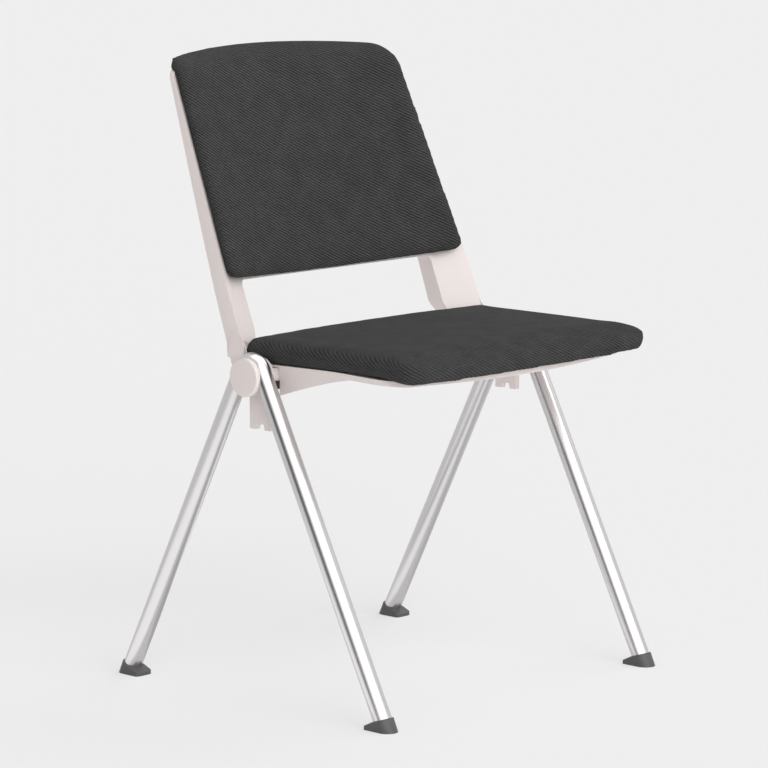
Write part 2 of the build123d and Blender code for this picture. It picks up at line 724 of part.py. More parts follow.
# Seat pan: a thin skin with a rim, webs, hinge barrels and stop lugs
def pan_band(upper, lower):
    """Side view of a layer of the pan, between two depths below its top."""
    rear = PAN_REAR + PAN_REAR_R / 2
    nose = (PAN_NOSE_Y, PIVOT_Z + PAN_NOSE_RISE)
    corners = [(rear, parting(rear) - PLAY), (KNEE_Y, parting(KNEE_Y) - PLAY), nose]
    high = [(y, z - upper) for y, z in corners]
    low = [(y, z - lower) for y, z in corners]
    with BuildSketch(side_plane(-REACH)) as band:
        with BuildLine():
            Line(high[0], high[1])
            TangentArc(high[1], high[2], tangent=KNEE_RUN)
            Line(high[2], low[2])
            TangentArc(low[1], low[2], tangent=KNEE_RUN)
            Line(low[1], low[0])
            Line(low[0], high[0])
        make_face()
    return band.sketch


with BuildSketch() as pan_outline:
    with BuildLine():
        sides = Polyline(
            (PAN_HALF, -PAN_SIDE_FRONT),
            (PAN_HALF, PAN_REAR),
            (-PAN_HALF, PAN_REAR),
            (-PAN_HALF, -PAN_SIDE_FRONT),
        )
        ThreePointArc(sides @ 1, (0, PAN_NOSE_Y), sides @ 0)
    make_face()
    fillet(vertices().group_by(Axis.Y)[0], PAN_FRONT_R)
    fillet(vertices().group_by(Axis.Y)[-1], PAN_REAR_R)

with BuildPart() as pan_hollow:
    add(pan_band(PAN_SKIN, REACH / 5))
    extrude(amount=WIDE, dir=(1, 0, 0))
    add(offset(pan_outline.sketch, amount=-PAN_WALL, mode=Mode.PRIVATE))
    extrude(amount=WIDE, dir=(0, 0, 1), mode=Mode.INTERSECT)

bush_r = cross_r + RUN + BUSH_WALL
with BuildPart() as seat_pan:
    add(pan_band(0, PAN_RIM))
    extrude(amount=WIDE, dir=(1, 0, 0))
    add(pan_outline.sketch)
    extrude(amount=WIDE, dir=(0, 0, 1), mode=Mode.INTERSECT)
    add(pan_hollow.part, mode=Mode.SUBTRACT)
    for side in (1, -1):
        # The rim leaves room for the hub of the back
        with BuildSketch(side_plane(side * (BARREL_OUT_X + PLAY))):
            with Locations((-WEB_REAR, parting(0) - PLAY - PAN_SKIN)):
                Rectangle(WEB_REAR + HUB_R + 4 * PLAY, HUB_ROOM, align=(Align.MIN, Align.MAX))
        extrude(amount=side * REACH / 10, mode=Mode.SUBTRACT)
        # Webs inside the rim, and behind the hub the lugs that stop the seat when it is up
        with BuildSketch(side_plane(side * WEB_X - WEB_T / 2)):
            with BuildLine():
                web_rear = Line((-WEB_REAR, parting(-WEB_REAR) - WEB_SINK), (-WEB_REAR, PIVOT_Z - WEB_DROP))
                web_low = ThreePointArc(
                    web_rear @ 1,
                    (WEB_MID_Y, PIVOT_Z - WEB_MID_DROP),
                    (-WEB_FRONT, PIVOT_Z + WEB_FRONT_RISE),
                )
                Polyline(web_low @ 1, (-WEB_FRONT, parting(-WEB_FRONT) - WEB_SINK), web_rear @ 0)
            make_face()
            lug_front = STOP_DROP + STOP_R + PLAY
            lug_low = PIVOT_Z + STOP_Y - LUG_LENGTH
            with BuildLine():
                Polyline(
                    (lug_front, PIVOT_Z + LUG_RISE),
                    (lug_front, lug_low),
                    (lug_front + LUG_TIP, lug_low),
                    (PAN_REAR - LUG_IN, PIVOT_Z),
                    (PAN_REAR - LUG_IN, PIVOT_Z + LUG_RISE),
                    close=True,
                )
            make_face()
        extrude(amount=WEB_T)
        with BuildSketch(side_plane(side * BARREL_IN_X)):
            with Locations((0, PIVOT_Z)):
                Circle(BARREL_R)
                Rectangle(2 * BARREL_R, BARREL_R, align=(Align.CENTER, Align.MIN))
            with Locations((0, parting(0) - WEB_SINK)):
                Rectangle(2 * HUB_ROOM, HUB_ROOM, align=(Align.CENTER, Align.MIN), mode=Mode.SUBTRACT)
            with Locations((0, PIVOT_Z)):
                Circle(bush_r, mode=Mode.SUBTRACT)
        extrude(amount=side * (BARREL_OUT_X - BARREL_IN_X))
        with BuildSketch(side_plane(side * BARREL_IN_X)):
            with Locations((0, PIVOT_Z)):
                Circle(bush_r)
        extrude(amount=side * (BARREL_OUT_X - BARREL_IN_X), mode=Mode.SUBTRACT)
    for x, y in SCREW_SPOTS:
        with BuildSketch(Plane.XY.offset(PIVOT_Z - WEB_MID_DROP)):
            with Locations((x, y)):
                Circle(SCREW_R + PLAY)
        extrude(amount=REACH / 5, mode=Mode.SUBTRACT)


# Bushes: a sleeve on the cross tube with a flange towards the hub
with BuildPart() as hinge_bushes:
    with BuildSketch(side_plane(BARREL_IN_X)):
        with Locations((0, PIVOT_Z)):
            Circle(bush_r)
    extrude(amount=BARREL_OUT_X - BARREL_IN_X)
    with BuildSketch(side_plane(BARREL_OUT_X)):
        with Locations((0, PIVOT_Z)):
            Circle(FLANGE_R)
        with Locations((0, PIVOT_Z + HUB_TOP)):
            Rectangle(2 * HUB_ROOM, HUB_ROOM, align=(Align.CENTER, Align.MIN), mode=Mode.SUBTRACT)
    extrude(amount=FLANGE_T)
    with BuildSketch(side_plane(BARREL_IN_X)):
        with Locations((0, PIVOT_Z)):
            Circle(cross_r + RUN)
    extrude(amount=REACH / 5, mode=Mode.SUBTRACT)
    mirror(about=Plane.YZ)


# Seat board on the pan, and the screws that hold it
def board_band(lift):
    """Side view of the seat board, grown by lift at the top and both ends."""
    front = PART_FRONT_Y - lift
    rear = PART_REAR_Y - SEAT_BOARD_REAR + lift
    with BuildSketch(side_plane(-REACH)) as band:
        with BuildLine():
            Polyline(
                (rear, parting(rear) - PLAY),
                (front, parting(front) - PLAY),
                (front, parting(front) - PLAY + SEAT_BOARD_T + lift),
                (rear, parting(rear) - PLAY + SEAT_BOARD_T + lift),
                close=True,
            )
        make_face()
    return band.sketch


with BuildSketch() as seat_board_outline:
    with Locations((0, BOARD_MID_Y)):
        RectangleRounded(2 * (SEAT_HALF - SEAT_BOARD_INSET), LONG_RUN, SEAT_BOARD_R)

with BuildPart() as seat_board:
    add(board_band(0))
    extrude(amount=WIDE, dir=(1, 0, 0))
    add(seat_board_outline.sketch)
    extrude(amount=WIDE, dir=(0, 0, 1), mode=Mode.INTERSECT)
    for x, y in SCREW_SPOTS:
        with BuildSketch(Plane.XY.offset(parting(y) - PLAY - PAN_SKIN)):
            with Locations((x, y)):
                Circle(SCREW_R + SLIP)
        extrude(amount=PAN_SKIN + SCREW_HOLE, mode=Mode.SUBTRACT)

with BuildPart() as board_screws:
    for x, y in SCREW_SPOTS:
        seat_z = parting(y) - PLAY - PAN_SKIN - SCREW_GAP
        with BuildSketch(Plane.XY.offset(seat_z)):
            with Locations((x, y)):
                Circle(SCREW_HEAD_R)
        extrude(amount=-SCREW_HEAD)
        with BuildSketch(Plane.XY.offset(seat_z - SCREW_HEAD / 5)):
            with Locations((x, y)):
                Circle(SCREW_R)
        extrude(amount=SCREW_REACH)


# Seat pad: side view, front view and plan meet in one crowned cushion with a rolled front edge
with BuildPart() as board_space:
    add(board_band(PLAY))
    extrude(amount=WIDE, dir=(1, 0, 0))
    add(offset(seat_board_outline.sketch, amount=PLAY, mode=Mode.PRIVATE))
    extrude(amount=WIDE, dir=(0, 0, 1), mode=Mode.INTERSECT)

with BuildPart() as seat_pad:
    # The side view stays just outside the crown and the front edge, which the other two views cut
    high = SEAT_TOP + SEAT_OVER + PLAY
    fore = -SEAT_FRONT - 2 * PLAY
    lip = (fore + SEAT_LIP_IN, PIVOT_Z + SEAT_LIP_LOW)
    with BuildSketch(side_plane(-REACH)):
        with BuildLine():
            Line((SEAT_REAR - SEAT_REAR_IN, high), (SEAT_ROLL_Y, high))
            roll = TangentArc(
                (SEAT_ROLL_Y, high), (SEAT_NOSE_Y, SEAT_TOP - SEAT_NOSE_DROP), tangent=(-1, 0)
            )
            nose = TangentArc(roll @ 1, (fore, PIVOT_Z + SEAT_LIP_RISE), tangent=roll % 1)
            ThreePointArc(nose @ 1, (fore + SEAT_LIP_MID_IN, PIVOT_Z + SEAT_LIP_MID), lip)
            TangentArc((KNEE_Y, parting(KNEE_Y)), lip, tangent=KNEE_RUN)
            heel = Polyline(
                (KNEE_Y, parting(KNEE_Y)),
                (PART_REAR_Y, PART_REAR_Z),
                (SEAT_REAR - SEAT_HEEL_IN, PIVOT_Z + SEAT_HEEL_RISE),
            )
            ThreePointArc(heel @ 1, (SEAT_REAR, PIVOT_Z + SEAT_REAR_RISE), (SEAT_REAR - SEAT_REAR_IN, high))
        make_face()
    extrude(amount=WIDE, dir=(1, 0, 0))
    side_low = PIVOT_Z + SEAT_SIDE_LOW
    shoulder_x = SEAT_HALF - SEAT_SHOULDER
    shoulder_z = SEAT_TOP - SEAT_SHOULDER_DROP
    with BuildSketch(front_plane(REACH)):
        with BuildLine():
            ThreePointArc((-shoulder_x, shoulder_z), (0, SEAT_TOP), (shoulder_x, shoulder_z))
            for side in (1, -1):
                shoulder = TangentArc(
                    (side * shoulder_x, shoulder_z),
                    (side * SEAT_HALF, PIVOT_Z + SEAT_SIDE_RISE),
                    tangent=(side, -0.03),
                )
                TangentArc(shoulder @ 1, (side * (SEAT_HALF - SEAT_SIDE_IN), side_low), tangent=shoulder % 1)
            ThreePointArc(
                (SEAT_HALF - SEAT_SIDE_IN, side_low),
                (0, side_low - SEAT_LOW_BOW),
                (SEAT_SIDE_IN - SEAT_HALF, side_low),
            )
        make_face()
    extrude(amount=WIDE, mode=Mode.INTERSECT)
    half = SEAT_HALF + SEAT_OVER
    with BuildSketch(Plane.XY):
        with BuildLine():
            sides = Polyline(
                (half, -SEAT_SIDE_FRONT),
                (half, SEAT_REAR + SEAT_REAR_IN),
                (-half, SEAT_REAR + SEAT_REAR_IN),
                (-half, -SEAT_SIDE_FRONT),
            )
            ThreePointArc(sides @ 1, (0, -SEAT_FRONT), sides @ 0)
        make_face()
        fillet(vertices().group_by(Axis.Y)[0], SEAT_CORNER_R)
    extrude(amount=WIDE, mode=Mode.INTERSECT)
    add(board_space.part, mode=Mode.SUBTRACT)


# One file per node
nodes = {
    "side_frame_right": side_frame_right,
    "side_frame_left": side_frame_left,
    "foot_front_right": foot_front_right,
    "foot_front_left": foot_front_left,
    "foot_rear_right": foot_rear_right,
    "foot_rear_left": foot_rear_left,
    "frame_clamps": frame_clamps,
    "clamp_bolts": clamp_bolts,
    "end_caps": end_caps,
    "cross_tube": cross_tube,
    "end_plugs": end_plugs,
    "stop_bumpers": stop_bumpers,
    "back_shell": back_shell,
    "back_board": back_board,
    "back_clips": back_clips,
    "back_pad": back_pad,
    "seat_pan": seat_pan,
    "hinge_bushes": hinge_bushes,
    "seat_board": seat_board,
    "board_screws": board_screws,
    "seat_pad": seat_pad,
}
for name, node in nodes.items():
    node.part.label = name
    export_step(node.part, f"parts/{name}.step")
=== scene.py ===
import math

import bmesh
import bpy
from bpy.props import FloatProperty, FloatVectorProperty, PointerProperty
from mathutils import Matrix, Vector
from mathutils.bvhtree import BVHTree


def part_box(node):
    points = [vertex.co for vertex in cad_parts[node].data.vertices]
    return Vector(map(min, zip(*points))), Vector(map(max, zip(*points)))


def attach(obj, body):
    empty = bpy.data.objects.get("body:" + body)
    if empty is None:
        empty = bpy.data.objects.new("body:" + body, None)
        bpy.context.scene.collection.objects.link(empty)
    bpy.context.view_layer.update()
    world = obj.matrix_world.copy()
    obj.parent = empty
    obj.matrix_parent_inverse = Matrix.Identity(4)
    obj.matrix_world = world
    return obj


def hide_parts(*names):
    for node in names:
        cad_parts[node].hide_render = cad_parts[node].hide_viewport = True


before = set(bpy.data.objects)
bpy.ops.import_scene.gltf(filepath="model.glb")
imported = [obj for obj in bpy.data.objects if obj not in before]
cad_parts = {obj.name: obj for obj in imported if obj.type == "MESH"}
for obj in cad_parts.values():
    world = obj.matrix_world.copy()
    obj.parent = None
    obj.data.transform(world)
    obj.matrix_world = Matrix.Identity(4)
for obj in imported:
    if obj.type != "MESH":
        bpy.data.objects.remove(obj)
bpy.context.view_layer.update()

bl_info = {
    "name": "Conference chair",
    "version": (1, 0, 0),
    "blender": (4, 5, 0),
    "location": "View3D > Sidebar > Chair",
    "description": "Dresses the packed chair for its studio picture",
    "category": "Object",
}

MM = 0.001
# Where the middle lines of a frame's two legs would meet above the floor, and how far they spread to reach it
LEG_APEX = 480.4 * MM
LEG_SPREAD = 243.5 * MM
# Distance of each side frame from the middle of the chair
LEG_X = 259.5 * MM
# Half width of the seat pad's solid
SEAT_HALF = 236.5 * MM


def from_hex(code):
    """Linear colour of an sRGB hex value."""
    parts = [int(code[i : i + 2], 16) / 255 for i in (1, 3, 5)]
    return tuple(p / 12.92 if p <= 0.04045 else ((p + 0.055) / 1.055) ** 2.4 for p in parts)


def add_node(tree, kind, sockets=None, **settings):
    """Adds a node with its settings, and sets or links the sockets that are given."""
    node = tree.nodes.new(kind)
    for key, value in settings.items():
        setattr(node, key, value)
    for key, value in (sockets or {}).items():
        if isinstance(value, bpy.types.NodeSocket):
            tree.links.new(value, node.inputs[key])
        else:
            node.inputs[key].default_value = value
    return node


class ChairSizes(bpy.types.PropertyGroup):
    """Sizes of the dressed pieces."""

    pivot_height: FloatProperty(
        name="Pivot height",
        description="Height of the cross tube's axis, round which each side frame bends",
        default=sum((corner.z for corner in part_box("cross_tube")), 0.0) / 2,
        unit="LENGTH",
    )
    bend_radius: FloatProperty(
        name="Bend radius",
        description="Radius of a side frame's bend, at the middle of its tube",
        default=19.4 * MM,
        unit="LENGTH",
    )
    apex_height: FloatProperty(
        name="Apex height",
        description="Height at which the middle lines of the two legs would meet",
        default=LEG_APEX,
        unit="LENGTH",
    )
    foot_spread: FloatProperty(
        name="Foot spread",
        description="Distance from the pivot to the middle of a leg at its foot, along the floor",
        default=LEG_SPREAD,
        unit="LENGTH",
    )
    tube_end: FloatProperty(
        name="Tube end",
        description="Height of the middle of a leg's cut end above the floor",
        default=9 * MM,
        unit="LENGTH",
    )
    cap_edge: FloatProperty(
        name="Cap edge",
        description="Rounding of the end caps' rim",
        default=2.6 * MM,
        unit="LENGTH",
    )
    shell_edge: FloatProperty(
        name="Shell edge",
        description="Rounding of the moulded back's edges",
        default=1.6 * MM,
        unit="LENGTH",
    )
    arm_edge: FloatProperty(
        name="Arm edge",
        description="Rounding of the outer edges of the arms",
        default=3 * MM,
        unit="LENGTH",
    )
    foot_edge: FloatProperty(
        name="Foot edge",
        description="Rounding of the feet's edges",
        default=0.8 * MM,
        unit="LENGTH",
    )
    side_roll: FloatProperty(
        name="Side roll",
        description="Rounding of the back pad's sides and lower edge",
        default=9 * MM,
        unit="LENGTH",
    )
    top_roll: FloatProperty(
        name="Top roll",
        description="Rounding of the back pad's upper edge",
        default=20 * MM,
        unit="LENGTH",
    )
    seat_corner: FloatProperty(
        name="Seat corner",
        description="Radius on which the fabric's ribs turn round the seat pad's front corners",
        default=30 * MM,
        unit="LENGTH",
    )
    rib_across: FloatProperty(
        name="Rib pitch across",
        description="Distance between the fabric's ribs, counted along a level thread",
        default=8.33 * MM,
        unit="LENGTH",
    )
    rib_down: FloatProperty(
        name="Rib pitch down",
        description="Distance between the fabric's ribs, counted along an upright thread",
        default=4.44 * MM,
        unit="LENGTH",
    )


class ChairColours(bpy.types.PropertyGroup):
    """Colours of the finishes."""

    moulding: FloatVectorProperty(
        name="Moulding",
        description="Off-white of the moulded back, seat pan and end caps",
        default=from_hex("#e7ddda"),
        subtype="COLOR",
    )
    yarn_dark: FloatVectorProperty(
        name="Dark yarn",
        description="Grey of the grooves between the fabric's ribs",
        default=from_hex("#1c1c1c"),
        subtype="COLOR",
    )
    yarn_light: FloatVectorProperty(
        name="Light yarn",
        description="Grey of the fabric's ribs",
        default=from_hex("#4f4f4f"),
        subtype="COLOR",
    )
    chrome: FloatVectorProperty(
        name="Chrome",
        description="Tint of the plated legs",
        default=from_hex("#c8c6c6"),
        subtype="COLOR",
    )
    foot: FloatVectorProperty(
        name="Foot",
        description="Grey of the feet",
        default=from_hex("#4a4a4a"),
        subtype="COLOR",
    )
    floor: FloatVectorProperty(
        name="Floor",
        description="Pale grey of the studio floor",
        default=from_hex("#eeeeee"),
        subtype="COLOR",
    )


def chrome_plate(colours):
    """Chromium plate on drawn steel tube: a grey mirror, a little soft from the drawing of the tube."""
    material = bpy.data.materials.new("chrome_plate")
    material.use_nodes = True
    shader = material.node_tree.nodes["Principled BSDF"]
    shader.inputs["Base Color"].default_value = (*colours.chrome, 1)
    shader.inputs["Metallic"].default_value = 1
    shader.inputs["Roughness"].default_value = 0.28
    return material


def moulded_plastic(name, colour, roughness, grain):
    """Injection-moulded plastic with a fine spark-eroded grain that breaks up its highlights."""
    material = bpy.data.materials.new(name)
    material.use_nodes = True
    tree = material.node_tree
    shader = tree.nodes["Principled BSDF"]
    shader.inputs["Base Color"].default_value = (*colour, 1)
    shader.inputs["Roughness"].default_value = roughness
    shader.inputs["IOR"].default_value = 1.49
    where = add_node(tree, "ShaderNodeTexCoord")
    # The real grain is about 0.1 mm, drawn here at 0.8 mm so that it shows
    noise = add_node(
        tree, "ShaderNodeTexNoise", {"Vector": where.outputs["Object"], "Scale": 1 / (0.8 * MM), "Detail": 1}
    )
    bump = add_node(
        tree, "ShaderNodeBump", {"Height": noise.outputs["Fac"], "Strength": grain, "Distance": 0.1 * MM}
    )
    tree.links.new(bump.outputs["Normal"], shader.inputs["Normal"])
    return material


def plain_metal(name, code, roughness):
    """Bare or zinc-plated metal of the fixings: a soft grey sheen."""
    material = bpy.data.materials.new(name)
    material.use_nodes = True
    shader = material.node_tree.nodes["Principled BSDF"]
    shader.inputs["Base Color"].default_value = (*from_hex(code), 1)
    shader.inputs["Metallic"].default_value = 1
    shader.inputs["Roughness"].default_value = roughness
    return material


def beech_plywood():
    """Beech plywood of the upholstery boards: pale tan with long faint grain lines."""
    material = bpy.data.materials.new("beech_plywood")
    material.use_nodes = True
    tree = material.node_tree
    shader = tree.nodes["Principled BSDF"]
    shader.inputs["Roughness"].default_value = 0.6
    where = add_node(tree, "ShaderNodeTexCoord")
    # Grain lines about 2 mm apart and 60 mm long
    along = add_node(tree, "ShaderNodeMapping", {"Vector": where.outputs["Object"], "Scale": (30, 500, 500)})
    noise = add_node(tree, "ShaderNodeTexNoise", {"Vector": along.outputs["Vector"], "Scale": 1, "Detail": 3})
    ramp = add_node(tree, "ShaderNodeValToRGB", {"Fac": noise.outputs["Fac"]})
    ramp.color_ramp.elements[0].color = (*from_hex("#b8925f"), 1)
    ramp.color_ramp.elements[1].color = (*from_hex("#dcc097"), 1)
    tree.links.new(ramp.outputs["Color"], shader.inputs["Base Color"])
    return material


def wool_twill(colours):
    """Woven wool-blend twill: slanting ribs of grey yarn, matt, with slightly cloudy dye."""
    material = bpy.data.materials.new("wool_twill")
    material.use_nodes = True
    tree = material.node_tree
    shader = tree.nodes["Principled BSDF"]
    shader.inputs["Roughness"].default_value = 0.95
    shader.inputs["Specular IOR Level"].default_value = 0.15
    shader.inputs["Sheen Weight"].default_value = 0.01
    shader.inputs["Sheen Roughness"].default_value = 0.5
    where = add_node(tree, "ShaderNodeTexCoord")
    # Yarns wander a little, about a tenth of a rib over 15 mm
    wander = add_node(
        tree, "ShaderNodeTexNoise", {"Vector": where.outputs["Object"], "Scale": 1 / (15 * MM), "Detail": 2}
    )
    ribs = []
    for attribute in ("rib_side", "rib_top"):
        count = add_node(tree, "ShaderNodeAttribute", attribute_name=attribute)
        moved = add_node(
            tree, "ShaderNodeMath", {0: wander.outputs["Fac"], 1: 0.25, 2: count.outputs["Fac"]},
            operation="MULTIPLY_ADD",
        )
        turned = add_node(tree, "ShaderNodeMath", {0: moved.outputs[0], 1: math.tau}, operation="MULTIPLY")
        wave = add_node(tree, "ShaderNodeMath", {0: turned.outputs[0]}, operation="SINE")
        ribs.append(
            add_node(tree, "ShaderNodeMath", {0: wave.outputs[0], 1: 0.5, 2: 0.5}, operation="MULTIPLY_ADD")
        )
    # Ribs show less on the sides of the seat, where the fabric is stretched
    level = add_node(tree, "ShaderNodeAttribute", attribute_name="rib_level")
    drawn = add_node(tree, "ShaderNodeMath", {0: level.outputs["Fac"], 1: 0.4, 2: 0.6}, operation="MULTIPLY_ADD")
    rib = add_node(
        tree, "ShaderNodeMix", {0: level.outputs["Fac"], 2: ribs[0].outputs[0], 3: ribs[1].outputs[0]}
    )
    # Three kinds of unevenness: yarn fuzz, floats that break up the ribs, and clouds in the dye. The floats' dashes
    # are partly the real floats and partly painted glints, light caught on the yarn drawn into the colour.
    # Single fibres are far below a pixel, so the fuzz is drawn at 0.9 mm.
    shade = add_node(tree, "ShaderNodeMath", {0: rib.outputs[0], 1: 0.5}, operation="SUBTRACT")
    # Painted glints: the ribs are drawn stronger in dashes, partly for the floats and partly for light caught on
    # them
    floats_and_glints = add_node(
        tree, "ShaderNodeTexNoise", {"Vector": where.outputs["Object"], "Scale": 1 / (4.2 * MM), "Detail": 2}
    )
    strength = add_node(
        tree, "ShaderNodeMath", {0: floats_and_glints.outputs["Fac"], 1: 3.0, 2: -0.7}, operation="MULTIPLY_ADD"
    )
    strength = add_node(tree, "ShaderNodeMath", {0: strength.outputs[0], 1: drawn.outputs[0]}, operation="MULTIPLY")
    shade = add_node(
        tree, "ShaderNodeMath", {0: shade.outputs[0], 1: strength.outputs[0], 2: 0.42}, operation="MULTIPLY_ADD"
    )
    for size, amount in ((0.9 * MM, 0.45), (28 * MM, 0.4)):
        noise = add_node(
            tree, "ShaderNodeTexNoise", {"Vector": where.outputs["Object"], "Scale": 1 / size, "Detail": 2}
        )
        around = add_node(tree, "ShaderNodeMath", {0: noise.outputs["Fac"], 1: 0.5}, operation="SUBTRACT")
        shade = add_node(
            tree, "ShaderNodeMath", {0: around.outputs[0], 1: amount, 2: shade.outputs[0]}, operation="MULTIPLY_ADD"
        )
    ramp = add_node(tree, "ShaderNodeValToRGB", {"Fac": shade.outputs[0]})
    ramp.color_ramp.elements[0].color = (*colours.yarn_dark, 1)
    ramp.color_ramp.elements[1].color = (*colours.yarn_light, 1)
    tree.links.new(ramp.outputs["Color"], shader.inputs["Base Color"])
    bump = add_node(
        tree, "ShaderNodeBump", {"Height": shade.outputs[0], "Strength": 0.5, "Distance": 0.4 * MM}
    )
    tree.links.new(bump.outputs["Normal"], shader.inputs["Normal"])
    return material


def finish_piece(mesh_data, name, body, slot_name, material, *nodes):
    """Makes the mesh an object that rides on a body and stands for the given nodes."""
    made = bpy.data.meshes.new(name)
    mesh_data.to_mesh(made)
    mesh_data.free()
    made.polygons.foreach_set("use_smooth", [True] * len(made.polygons))
    piece = bpy.data.objects.new(name, made)
    bpy.context.scene.collection.objects.link(piece)
    made.materials.append(material)
    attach(piece, body)
    if nodes:
        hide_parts(*nodes)
    return piece


def paint(material, *nodes):
    """Gives CAD nodes a finish in their own slots."""
    for node in nodes:
        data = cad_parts[node].data
        data.materials.clear()
        data.materials.append(material)


def merged_copy(node):
    """The node's mesh with its loose triangles joined and without its UV maps."""
    bm = bmesh.new()
    bm.from_mesh(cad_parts[node].data)
    bmesh.ops.remove_doubles(bm, verts=bm.verts, dist=0.004 * MM)
    for layer in list(bm.loops.layers.uv.values()):
        bm.loops.layers.uv.remove(layer)
    return bm


def rounded_copy(node, name, body, slot_name, material, width, angle, form=None):
    """A copy of a node, moved to a truer form where one is given, whose sharp edges are rounded."""
    bm = merged_copy(node)
    for vert in bm.verts:
        vert.co = form(vert.co) if form else vert.co
    bmesh.ops.dissolve_limit(bm, angle_limit=math.radians(0.5), verts=bm.verts, edges=bm.edges)
    piece = finish_piece(bm, name, body, slot_name, material, node)
    bevel = piece.modifiers.new("rounded edges", "BEVEL")
    bevel.width = width
    bevel.segments = 3
    bevel.limit_method = "ANGLE"
    bevel.angle_limit = math.radians(angle)
    bevel.harden_normals = True
    return piece


class CHAIR_OT_side_frames(bpy.types.Operator):
    """Bends the two plated side frames from round tube"""

    bl_idname = "chair.side_frames"
    bl_label = "Side frames"

    def execute(self, context):
        sizes = context.scene.chair_sizes
        material = chrome_plate(context.scene.chair_colours)
        lean = math.atan2(sizes.foot_spread, sizes.apex_height)
        for side in ("right", "left"):
            low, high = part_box(f"side_frame_{side}")
            centre = Vector(((low.x + high.x) / 2, 0, sizes.pivot_height))
            outward = Vector((0, -math.cos(lean), math.sin(lean)))
            start = Matrix((Vector((1, 0, 0)), outward, Vector((1, 0, 0)).cross(outward))).transposed()
            bm = bmesh.new()
            ring = bmesh.ops.create_circle(
                bm,
                segments=48,
                radius=(high.x - low.x) / 2,
                matrix=Matrix.Translation(centre + outward * sizes.bend_radius) @ start.to_4x4(),
            )
            first = list({edge for vert in ring["verts"] for edge in vert.link_edges})
            bend = bmesh.ops.spin(
                bm, geom=ring["verts"] + first, cent=centre, axis=(-1, 0, 0), angle=math.pi - 2 * lean, steps=40
            )
            last = [item for item in bend["geom_last"] if isinstance(item, bmesh.types.BMEdge)]
            run = (sizes.pivot_height + sizes.bend_radius * math.sin(lean) - sizes.tube_end) / math.cos(lean)
            for edges, forward in ((first, -1), (last, 1)):
                grown = bmesh.ops.extrude_edge_only(bm, edges=edges)["geom"]
                end = [item for item in grown if isinstance(item, bmesh.types.BMVert)]
                step = Vector((0, forward * math.sin(lean), -math.cos(lean))) * run
                bmesh.ops.translate(bm, verts=end, vec=step)
            bmesh.ops.holes_fill(bm, edges=bm.edges, sides=0)
            bmesh.ops.recalc_face_normals(bm, faces=bm.faces)
            piece = finish_piece(
                bm, f"side_tube_{side}", "frame", "chrome_tube", material, f"side_frame_{side}"
            )
            mark_sharp(piece, 50)
        return {"FINISHED"}


def mark_sharp(piece, angle):
    """Keeps edges steeper than the angle crisp in smooth shading."""
    bm = bmesh.new()
    bm.from_mesh(piece.data)
    for edge in bm.edges:
        if len(edge.link_faces) == 2 and edge.calc_face_angle() > math.radians(angle):
            edge.smooth = False
    bm.to_mesh(piece.data)
    bm.free()


def full_toe(place):
    """A point of a foot, moved so that the foot keeps its width up to a shorter toe."""
    heel_y, solid_toe, short_toe = 249.4 * MM, 44.4 * MM, 35.9 * MM
    taper_y, taper_run = 235.5 * MM, 30.5 * MM
    half_width, taper_in = 14.25 * MM, 6.75 * MM
    socket_radius, leg_slant = 12.8 * MM, 0.89
    middle = math.copysign(LEG_X, place.x)
    reach = heel_y - abs(place.y)
    # The socket and plug stay with the leg
    leg_y = LEG_SPREAD * (1 - place.z / LEG_APEX)
    if reach <= 0 or math.hypot(place.x - middle, (abs(place.y) - leg_y) * leg_slant) < socket_radius:
        return place
    taper = max(taper_y - abs(place.y), 0.0) / taper_run
    across = middle + (place.x - middle) * half_width / (half_width - taper_in * taper)
    along = heel_y - reach * short_toe / solid_toe
    return Vector((across, math.copysign(along, place.y), place.z))


class CHAIR_OT_feet(bpy.types.Operator):
    """Rounds the edges of the four moulded feet and widens their toes"""

    bl_idname = "chair.feet"
    bl_label = "Feet"

    def execute(self, context):
        sizes = context.scene.chair_sizes
        material = moulded_plastic("nylon_feet", context.scene.chair_colours.foot, 0.5, 0.2)
        for end in ("front", "rear"):
            for side in ("right", "left"):
                node = f"foot_{end}_{side}"
                rounded_copy(
                    node, f"{node}_moulding", "frame", "foot_plastic", material, sizes.foot_edge, 35, full_toe
                )
        return {"FINISHED"}


class CHAIR_OT_end_caps(bpy.types.Operator):
    """Turns the two round end caps that cover the frame clamps"""

    bl_idname = "chair.end_caps"
    bl_label = "End caps"

    def execute(self, context):
        sizes = context.scene.chair_sizes
        material = bpy.data.materials["polypropylene"]
        low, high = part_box("end_caps")
        radius = (high.y - low.y) / 2
        middle = (high.y + low.y) / 2
        depth = 8.4 * MM
        sideways = Matrix.Rotation(math.pi / 2, 4, "Y")
        bm = bmesh.new()
        for face_x, side in ((low.x, -1), (high.x, 1)):
            disc = bmesh.ops.create_circle(
                bm,
                cap_ends=True,
                segments=96,
                radius=radius,
                matrix=Matrix.Translation((face_x, middle, sizes.pivot_height)) @ sideways,
            )
            rim = list({edge for vert in disc["verts"] for edge in vert.link_edges})
            grown = bmesh.ops.extrude_edge_only(bm, edges=rim)["geom"]
            inner = [item for item in grown if isinstance(item, bmesh.types.BMVert)]
            bmesh.ops.translate(bm, verts=inner, vec=(-side * depth, 0, 0))
            bmesh.ops.bevel(
                bm,
                geom=rim,
                offset=sizes.cap_edge,
                offset_type="OFFSET",
                affect="EDGES",
                segments=5,
                profile=0.5,
                material=-1,
            )
        bmesh.ops.holes_fill(bm, edges=bm.edges, sides=0)
        bmesh.ops.recalc_face_normals(bm, faces=bm.faces)
        piece = finish_piece(bm, "end_cap_mouldings", "frame", "cap_plastic", material, "end_caps")
        mark_sharp(piece, 40)
        return {"FINISHED"}


